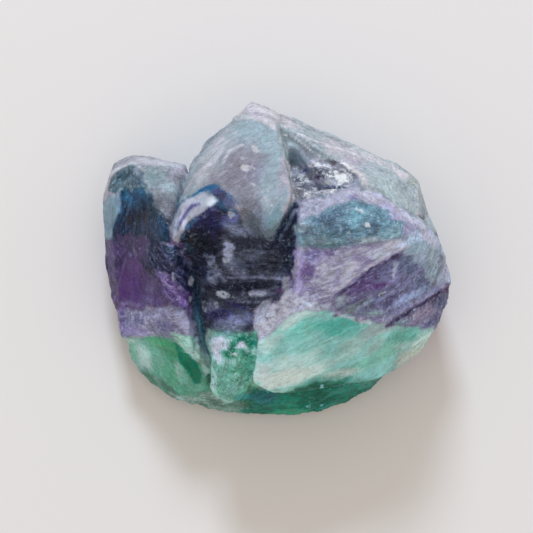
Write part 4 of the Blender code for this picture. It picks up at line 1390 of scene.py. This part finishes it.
class Surface:
    """The piece's points in millimetres, with what the relief and the paint need to know about them."""

    def __init__(self, mesh):
        self.points = layer_values(mesh.vertices, "co", 3) / MM
        self.normals = layer_values(mesh.vertex_normals, "vector", 3)
        self.ends = layer_values(mesh.edges, "vertices", 2).astype(int)
        self.links = np.bincount(self.ends.ravel(), minlength=len(self.points))
        self.plan = self.points[:, :2]
        sways = [cloud(self.points, WANDER_SIZE, SEEDS[name]) for name in ("wander x", "wander y")]
        self.wander = np.stack(sways, axis=1)
        self.facing = ramp(self.normals[:, 2] + FACING_WANDER * self.wander[:, 0], *FACING)
        self.upward = ramp(self.normals[:, 2], *UPWARD)

    def smoothed(self, values, rounds):
        """Values drawn towards the mean of their neighbours, again and again."""
        first, second = self.ends.T
        count = len(self.points)
        columns = values.reshape(count, -1).T.copy()
        for _ in range(rounds):
            for index, column in enumerate(columns):
                total = np.bincount(first, column[second], count) + np.bincount(second, column[first], count)
                columns[index] = 0.5 * (column + total / self.links)
        return columns.T.reshape(values.shape)

    def bulge(self, rounds):
        """How far each point stands out of the smoothed surface; hollows are negative."""
        return ((self.points - self.smoothed(self.points, rounds)) * self.normals).sum(axis=1)

    def around(self, outline):
        """The points that are near an outline or inside it."""
        low = np.min(outline, axis=0) - REACH
        high = np.max(outline, axis=0) + REACH
        return np.flatnonzero(((self.plan > low) & (self.plan < high)).all(axis=1))

    def covered(self, number):
        """The points that a region reaches, their spots with its ragged edge, and its share of each."""
        region = REGIONS[number]
        near = self.around(region.outline)
        along, across = grain_ways(region.grain)
        plan = self.plan[near]
        lengthwise, upright = FRAY_STRETCH
        lanes = np.stack((lengthwise * plan @ along, plan @ across, upright * self.points[near, 2]), axis=1)
        seed = SEEDS["borders"] + SEED_STEP * number
        ragged = FRAY_GAIN * region.fray * cloud(lanes, FRAY_SIZE, seed)
        spots = plan + BORDER_WANDER * self.wander[near] + ragged[:, None] * along
        depth = inside_depth(spots, region.outline)
        share = ramp(depth, -0.5 * region.border, 0.5 * region.border) * self.facing[near]
        height = self.points[near, 2] + LOW_WANDER * self.wander[near, 0]
        share *= ramp(height, region.lowest - LOW_FADE, region.lowest + LOW_FADE)
        return near, spots, share

    def character(self, name):
        """How rough, streaked, mottled or frosted each point is."""
        values = np.full(len(self.points), BARE[name])
        for number, region in enumerate(REGIONS):
            near, _, share = self.covered(number)
            values[near] += share * (getattr(region, name) - values[near])
        return values

    def streaks(self):
        """Places along and across each region's streaks, with the height as the third."""
        places = self.points.copy()
        for number, region in enumerate(REGIONS):
            near, _, share = self.covered(number)
            along, across = grain_ways(region.grain)
            reach = self.plan[near] - np.mean(region.outline, axis=0)
            turned = np.stack((reach @ along, reach @ across), axis=1)
            turned += STREAK_WANDER * self.wander[near]
            places[near, :2] += share[:, None] * (turned - places[near, :2])
        return places


def grain_ways(angle):
    """The directions along and across streaks that run at this angle."""
    turn = math.radians(angle)
    return np.array((math.cos(turn), math.sin(turn))), np.array((-math.sin(turn), math.cos(turn)))


def broken_faces(surface):
    """Heights of the facets, the small chips and the cleavage steps."""
    points = surface.points
    normals = surface.smoothed(surface.normals, NORMAL_ROUNDS)
    patchy = ramp(cloud(points, PATCH_SIZE, SEEDS["patches"], 2), *PATCH_SHARE)
    height = FACET_DEPTH * facets(points, FACET_SIZE, SEEDS["facets"])
    height += CHIP_DEPTH * facets(points, CHIP_SIZE, SEEDS["chips"])
    return height + CLEAVAGE_DEPTH * patchy * cleavage(points, normals)


def streaked_faces(surface, rough):
    """Heights of the steps and the finer combs along the streaks."""
    streaks = surface.streaks()
    step_sway = STEP_SWAY * cloud(surface.points, STEP_SWAY_SIZE, SEEDS["steps"])
    steps = saw(streaks[:, 1] / STEP_WIDTH + streaks[:, 2] / STEP_HEIGHT + step_sway)
    comb_sway = COMB_SWAY * cloud(streaks / COMB_STRETCH, COMB_SWAY_SIZE, SEEDS["combs"])
    combs = saw(streaks[:, 1] / COMB_WIDTH + comb_sway)
    return STEP_DEPTH * rough * (steps - 0.5) + COMB_DEPTH * surface.character("streaked") * (combs - 0.5)


def chipped_edges(surface):
    """How chipped each point is: one where an edge stands out and a patch of it is broken."""
    patches = ramp(cloud(surface.points, CHIPPED_SIZE, SEEDS["chipped"]), *CHIPPED_SHARE)
    return ramp(surface.bulge(EDGE_ROUNDS), *EDGE_BULGE) * patches


def relieve(piece):
    """Breaks the even surface with facets, cleavage steps, streaks and chipped edges; the foot stays flat."""
    surface = Surface(piece.data)
    points = surface.points
    rough = surface.character("rough")
    height = broken_faces(surface) + streaked_faces(surface, rough)
    height += GRIT_DEPTH * cloud(points, GRIT_SIZE, SEEDS["grit"])
    height *= ROUGH_LEAST + rough
    spots = surface.plan + LEDGE_WANDER * surface.wander
    for ledge in LEDGES:
        height += surface.upward * ledge_height(spots, *ledge)
    height -= EDGE_CHIP * chipped_edges(surface)
    height *= ramp(points[:, 2], *FOOT_HEIGHTS)
    moved = points + surface.normals * height[:, None]
    moved[:, 2] = np.maximum(moved[:, 2], points[:, 2].min())
    piece.data.vertices.foreach_set("co", (moved * MM).astype(np.float32).ravel())
    piece.data.update()


def screen_values(tone):
    """A tone from 0 to 255 as screen values from 0 to 1."""
    return np.array(tone) / SCREEN_WHITE


def banded(surface):
    """The tone of each point where only the growth bands set it."""
    points = surface.points
    depth = points[:, 1] + BAND_LEAN * (BAND_TOP - points[:, 2]) + BAND_SKEW * points[:, 0]
    level = depth + surface.wander[:, 0]
    tint = np.tile(screen_values(TONES[BANDS[0][0]]), (len(points), 1))
    for name, start, softness in BANDS[1:]:
        share = ramp(level, start - softness, start + softness)[:, None]
        tint += share * (screen_values(TONES[name]) - tint)
    hazy = ramp(cloud(points, HAZE_SIZE, SEEDS["haze"]), *HAZE_SHARE)[:, None]
    return tint + HAZE * hazy * (screen_values(TONES["pale lavender"]) - tint)


def region_tint(region, spots, upward):
    """A region's tone with its washes over it."""
    tint = np.tile(screen_values(TONES[region.tone]), (len(spots), 1))
    for name, strength, middle, halves, angle in region.washes:
        share = ramp(spot_depth(spots, middle, halves, angle), -WASH_EDGE, WASH_EDGE)
        tint += (strength * upward * share)[:, None] * (screen_values(TONES[name]) - tint)
    return tint


def draw_lines(surface, tint, lit):
    """Draws the regions' fine lines, with their painted light and shade, into the tint, broken off here and
    there.
    """
    broken = ramp(cloud(surface.points, LINE_GAP_SIZE, SEEDS["lines"]), *LINE_GAPS) * surface.upward
    for region in REGIONS:
        for name, strength, half_width, line in region.lines:
            near = surface.around(line)
            spots = surface.plan[near] + LINE_WANDER * surface.wander[near]
            share = ramp(line_depth(spots, line, half_width + LINE_SPREAD), *LINE_DEPTH) * broken[near]
            own = painted_light_tone(screen_values(TONES[name]), lit[near])
            tint[near] += (strength * share)[:, None] * (own - tint[near])


def painted_light_factor(surface):
    """How much brighter or darker each point is painted than its region, for the light and shade that fall
    there.
    """
    glow = np.ones(len(surface.points))
    for factor, middle, halves, angle in PAINTED_LIGHT_SPOTS:
        share = ramp(spot_depth(surface.plan, middle, halves, angle), -WASH_EDGE, WASH_EDGE)
        glow *= factor ** (share * ramp(surface.points[:, 2], *GLOW_HEIGHTS))
    return glow


def bruised(surface):
    """How bruised each point is: one in a bruise's middle."""
    mark = np.zeros(len(surface.points))
    close = surface.plan + BRUISE_WANDER * surface.wander
    for strength, middle, halves, angle in BRUISES:
        depth = spot_depth(close, middle, halves, angle)
        mark = np.maximum(mark, strength * ramp(depth, *BRUISE_EDGE))
    return mark * surface.upward


def tinted(surface):
    """Each point's tone as screen values with painted light and shade in it, and its light and shade factors.
    """
    tint = painted_light_tone(banded(surface), BARE_PAINTED_LIGHT)
    lit = np.tile(BARE_PAINTED_LIGHT, (len(tint), 1))
    for number, region in enumerate(REGIONS):
        near, spots, share = surface.covered(number)
        own = painted_light_tone(region_tint(region, spots, surface.upward[near]), region.lit)
        tint[near] += share[:, None] * (own - tint[near])
        lit[near] += share[:, None] * (np.array(region.lit) - lit[near])
    tint *= 1.0 + TONE_DRIFT * cloud(surface.points, TONE_DRIFT_SIZE, SEEDS["tones"])[:, None]
    draw_lines(surface, tint, lit)
    return tint, lit


def paint(piece):
    """Gives each point its tone with painted light and shade, its marks and wear, and the way its streaks
    run.
    """
    surface = Surface(piece.data)
    mesh = piece.data
    for name in ("streaked", "mottled", "frosted"):
        store(mesh, name, surface.character(name))
    store(mesh, "mark", bruised(surface))
    worn = surface.bulge(WORN_ROUNDS) / WORN_BULGE
    store(mesh, "worn", worn * ramp(surface.points[:, 2], *GLOW_HEIGHTS))
    streaks = mesh.attributes.new("streaks", "FLOAT_VECTOR", "POINT")
    streaks.data.foreach_set("vector", surface.streaks().astype(np.float32).ravel())
    tint, lit = tinted(surface)
    glow = painted_light_factor(surface)
    store_tone(mesh, "tint", light_values(np.maximum(tint, 0.0)), glow)
    # The pale marks take the same painted light and shade as the tone under them.
    store_tone(mesh, "pale", lit * light_values(screen_values(PALE_TONE)), glow)


def store(mesh, name, values):
    """Keeps one number for each point of the mesh."""
    layer = mesh.attributes.new(name, "FLOAT", "POINT")
    layer.data.foreach_set("value", values.astype(np.float32))


def store_tone(mesh, name, light, glow):
    """Keeps one tone per point, painted lighter or darker by its shade and light spots, never over the
    brightest, same hue.
    """
    layer = mesh.attributes.new(name, "FLOAT_COLOR", "POINT")
    values = np.array(TONE_GAIN) * light
    tones = np.ones((len(values), 4), dtype=np.float32)
    tones[:, :3] = values * np.minimum(glow, BRIGHTEST / values.max(axis=1))[:, None]
    layer.data.foreach_set("color", tones.ravel())


def painted_light_tone(screen, lit):
    """Screen values painted brighter or darker by a light and shade factor for each colour."""
    light = np.maximum(light_values(np.clip(screen, 0.0, 1.0)) * lit, DARKEST)
    return (1.0 + SCREEN_OFFSET) * light ** (1.0 / SCREEN_POWER) - SCREEN_OFFSET


def light_values(screen):
    """Screen values from 0 to 1 as amounts of light."""
    curve = ((screen + SCREEN_OFFSET) / (1.0 + SCREEN_OFFSET)) ** SCREEN_POWER
    return np.where(screen <= SCREEN_TOE, screen / SCREEN_SLOPE, curve)


def linear(tone):
    """A tone from 0 to 255 as the shader takes it."""
    return tuple(float(value) for value in light_values(screen_values(tone))) + (1.0,)


class Graph:
    """Adds shader nodes in few words."""

    def __init__(self, tree):
        self.tree = tree
        self.tree.nodes.clear()

    def add(self, kind, inputs, **settings):
        """A node with its settings, each input given as a value or as the socket that feeds it."""
        node = self.tree.nodes.new(kind)
        for name, value in settings.items():
            setattr(node, name, value)
        for name, value in inputs.items():
            if isinstance(value, bpy.types.NodeSocket):
                self.tree.links.new(value, node.inputs[name])
            else:
                node.inputs[name].default_value = value
        return node

    def attribute(self, name, output="Fac"):
        """One of the values that the paint keeps on the mesh."""
        return self.add("ShaderNodeAttribute", {}, attribute_name=name).outputs[output]

    def sum(self, *values):
        """All the values added up."""
        total = values[0]
        for value in values[1:]:
            total = self.add("ShaderNodeMath", {0: total, 1: value}, operation="ADD").outputs[0]
        return total

    def product(self, *values):
        """All the values multiplied."""
        total = values[0]
        for value in values[1:]:
            total = self.add("ShaderNodeMath", {0: total, 1: value}, operation="MULTIPLY").outputs[0]
        return total

    def between(self, value, low, high, start=0.0, end=1.0):
        """Rises smoothly from start, where the value is low, to end, where it is high."""
        inputs = {"Value": value, "From Min": low, "From Max": high, "To Min": start, "To Max": end}
        return self.add("ShaderNodeMapRange", inputs, interpolation_type="SMOOTHSTEP").outputs[0]

    def blended(self, fields, shares):
        """The sum of the named fields, each times its share."""
        return self.sum(*(self.product(fields[name], share) for name, share in shares.items()))

    def noise(self, place, scale, detail, roughness, distortion):
        """Noise from -0.5 to 0.5."""
        inputs = {
            "Vector": place,
            "Scale": scale,
            "Detail": detail,
            "Roughness": roughness,
            "Distortion": distortion,
        }
        field = self.add("ShaderNodeTexNoise", inputs)
        return self.between(field.outputs["Fac"], *NOISE_RANGE, -0.5, 0.5)

    def scaled(self, place, scale):
        """A place with each of its numbers scaled."""
        return self.add("ShaderNodeMapping", {"Vector": place, "Scale": scale}).outputs[0]

    def mix(self, share, first, second):
        """The first colour where the share is nought, the second where it is one."""
        node = self.add("ShaderNodeMix", {}, data_type="RGBA")
        for socket, value in ((node.inputs[0], share), (node.inputs[6], first), (node.inputs[7], second)):
            if isinstance(value, bpy.types.NodeSocket):
                self.tree.links.new(value, socket)
            else:
                socket.default_value = value
        return node.outputs[2]


def stone_fields(graph):
    """The stone's painted values and its noises, by name."""
    fields = {name: graph.attribute(name) for name in ("streaked", "mottled", "frosted", "mark", "worn")}
    place = graph.add("ShaderNodeTexCoord", {}).outputs["Object"]
    place = graph.scaled(place, (1.0 / MM, 1.0 / MM, 1.0 / MM))
    for name, traits in EVEN_NOISES.items():
        fields[name] = graph.noise(place, *traits)
    lanes = graph.attribute("streaks", "Vector")
    for name, (stretch, *traits) in DRAWN_NOISES.items():
        fields[name] = graph.noise(graph.scaled(lanes, (stretch, 1.0, 1.0)), *traits)
    fields["fibre"] = graph.product(fields["hair"], fields["streaked"])
    fields["grain"] = graph.product(fields["grit"], fields["mottled"])
    return fields


def stone_colour(graph, fields):
    """The painted tone, made uneven by streaks, mottles and a drift of its hue."""
    lines = graph.product(graph.blended(fields, LINE_SHARES), fields["streaked"])
    spots = graph.product(graph.blended(fields, SPOT_SHARES), fields["mottled"])
    shift = {
        "Hue": graph.sum(graph.product(fields["drift"], HUE_DRIFT), HUE_KEPT),
        "Saturation": graph.sum(graph.product(fields["mottle"], SATURATION_DRIFT), 1.0),
        "Value": graph.sum(lines, spots, 1.0),
        "Color": graph.attribute("tint", "Color"),
    }
    return graph.add("ShaderNodeHueSaturation", shift).outputs[0]


def pale_marks(graph, fields):
    """How far flecks, sugary frost, veins, flakes and worn edges whiten each spot."""
    frosted = fields["frosted"]
    fleck = graph.between(graph.blended(fields, FLECK_SHARES), *FLECK_RANGE, 0.0, FLECK_STRENGTH)
    sugar = graph.between(graph.blended(fields, SUGAR_SHARES), *SUGAR_RANGE, 0.0, SUGAR_STRENGTH)
    middle = graph.add("ShaderNodeMath", {0: fields["wisp"]}, operation="ABSOLUTE").outputs[0]
    vein = graph.between(middle, 0.0, VEIN_WIDTH, VEIN_STRENGTH, 0.0)
    vein = graph.product(vein, graph.sum(fields["streaked"], VEIN_LEAST))
    vein = graph.product(vein, graph.between(fields["mottle"], *VEIN_GAPS))
    flake = graph.between(fields["flakes"], *FLAKE_RANGE, 0.0, FLAKE_STRENGTH)
    flake = graph.product(flake, graph.between(frosted, *FLAKE_FROST))
    edge = graph.between(graph.blended(fields, EDGE_SHARES), *EDGE_RANGE, 0.0, EDGE_STRENGTH)
    edge = graph.product(edge, graph.sum(frosted, EDGE_LEAST))
    return graph.sum(edge, fleck, graph.product(sugar, frosted), vein, flake)


def bruise_marks(graph, fields):
    """How far the bruises whiten each spot, with broken borders."""
    broken = graph.sum(graph.blended(fields, BRUISE_SHARES), 1.0)
    return graph.between(graph.product(fields["mark"], broken), *BRUISE_RANGE, 0.0, BRUISE_STRENGTH)


def fluorite_material():
    """Banded fluorite: the painted tone, with fine streaks, mottles, pale flecks and bruises over it."""
    material = bpy.data.materials.new("banded fluorite")
    material.use_nodes = True
    graph = Graph(material.node_tree)
    fields = stone_fields(graph)
    fields["bruise"] = bruise_marks(graph, fields)
    pale = graph.attribute("pale", "Color")
    colour = graph.mix(pale_marks(graph, fields), stone_colour(graph, fields), pale)
    lumps = graph.blended(fields, LUMP_SHARES)
    bump = {"Height": lumps, "Strength": BUMP_STRENGTH, "Distance": BUMP_DEPTH * MM}
    shader = graph.add(
        "ShaderNodeBsdfPrincipled",
        {
            "Base Color": graph.mix(fields["bruise"], colour, pale),
            "Roughness": graph.sum(graph.blended(fields, ROUGHNESS_SHARES), ROUGHNESS),
            "Normal": graph.add("ShaderNodeBump", bump).outputs[0],
            "IOR": REFRACTION,
            "Specular IOR Level": GLOSS,
            "Transmission Weight": SEE_THROUGH,
        },
    )
    graph.add("ShaderNodeOutputMaterial", {"Surface": shader.outputs[0]})
    return material


def chunk_piece(node):
    """The whole stone, in place of the plain solid."""
    piece = merged_copy(node)
    refine(piece)
    relieve(piece)
    paint(piece)
    piece.data.shade_smooth()
    piece.data.materials.clear()
    piece.data.materials.append(fluorite_material())
    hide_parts("fluorite")
    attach(piece, "root")


def plain_material(name, tone, roughness):
    """One even tone, for the table alone."""
    material = bpy.data.materials.new(name)
    material.use_nodes = True
    graph = Graph(material.node_tree)
    shader = graph.add("ShaderNodeBsdfPrincipled", {"Base Color": linear(tone), "Roughness": roughness})
    graph.add("ShaderNodeOutputMaterial", {"Surface": shader.outputs[0]})
    return material


def floor():
    """A plain pale table top."""
    shape = bmesh.new()
    bmesh.ops.create_grid(shape, x_segments=1, y_segments=1, size=FLOOR_HALF * MM)
    mesh = bpy.data.meshes.new("floor")
    shape.to_mesh(mesh)
    shape.free()
    table = bpy.data.objects.new("floor", mesh)
    bpy.context.scene.collection.objects.link(table)
    mesh.materials.append(plain_material("pale table", FLOOR_TONE, FLOOR_ROUGHNESS))


def soft_light(name, direction, distance, width, height, power, tone):
    """A softbox that shines on the stone from that direction."""
    lamp = bpy.data.lights.new(name, "AREA")
    lamp.shape = "RECTANGLE"
    lamp.size = width * MM
    lamp.size_y = height * MM
    lamp.energy = power
    lamp.color = tone
    light = bpy.data.objects.new(name, lamp)
    bpy.context.scene.collection.objects.link(light)
    towards = Vector(direction).normalized()
    light.location = towards * distance * MM + Vector((0.0, 0.0, OUTLINE_LEVEL * MM))
    light.rotation_mode = "QUATERNION"
    light.rotation_quaternion = towards.to_track_quat("Z", "Y")


def surround():
    """An even warm glow from all round, a little brighter straight overhead."""
    world = bpy.data.worlds.new("surround")
    bpy.context.scene.world = world
    world.use_nodes = True
    graph = Graph(world.node_tree)
    way = graph.add("ShaderNodeTexCoord", {}).outputs["Generated"]
    height = graph.add("ShaderNodeSeparateXYZ", {"Vector": way}).outputs["Z"]
    glow = graph.between(height, *OVERHEAD, SIDE_GLOW, OVERHEAD_GLOW)
    background = graph.add("ShaderNodeBackground", {"Color": SURROUND_TONE + (1.0,), "Strength": glow})
    graph.add("ShaderNodeOutputWorld", {"Surface": background.outputs[0]})


def camera():
    """Straight down on the stone, framed as in the photograph."""
    lens = bpy.data.cameras.new("camera")
    lens.sensor_width = SENSOR
    lens.lens = SENSOR * (CAMERA_HEIGHT - OUTLINE_LEVEL) / PICTURE_WIDTH
    lens.clip_start = CLIP_START * MM
    view = bpy.data.objects.new("camera", lens)
    view.location = (PICTURE_CENTRE[0] * MM, PICTURE_CENTRE[1] * MM, CAMERA_HEIGHT * MM)
    bpy.context.scene.collection.objects.link(view)
    bpy.context.scene.camera = view


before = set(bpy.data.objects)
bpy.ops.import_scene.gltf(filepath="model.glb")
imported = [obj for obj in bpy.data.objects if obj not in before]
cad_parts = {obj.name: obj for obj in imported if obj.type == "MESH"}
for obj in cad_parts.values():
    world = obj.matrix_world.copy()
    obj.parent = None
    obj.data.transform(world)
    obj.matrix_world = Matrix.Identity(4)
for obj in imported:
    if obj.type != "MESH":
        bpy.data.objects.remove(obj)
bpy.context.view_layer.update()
chunk_piece(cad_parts["fluorite"])
floor()
for light in LIGHTS:
    soft_light(*light)
surround()
camera()
bpy.context.scene.view_settings.view_transform = "Standard"
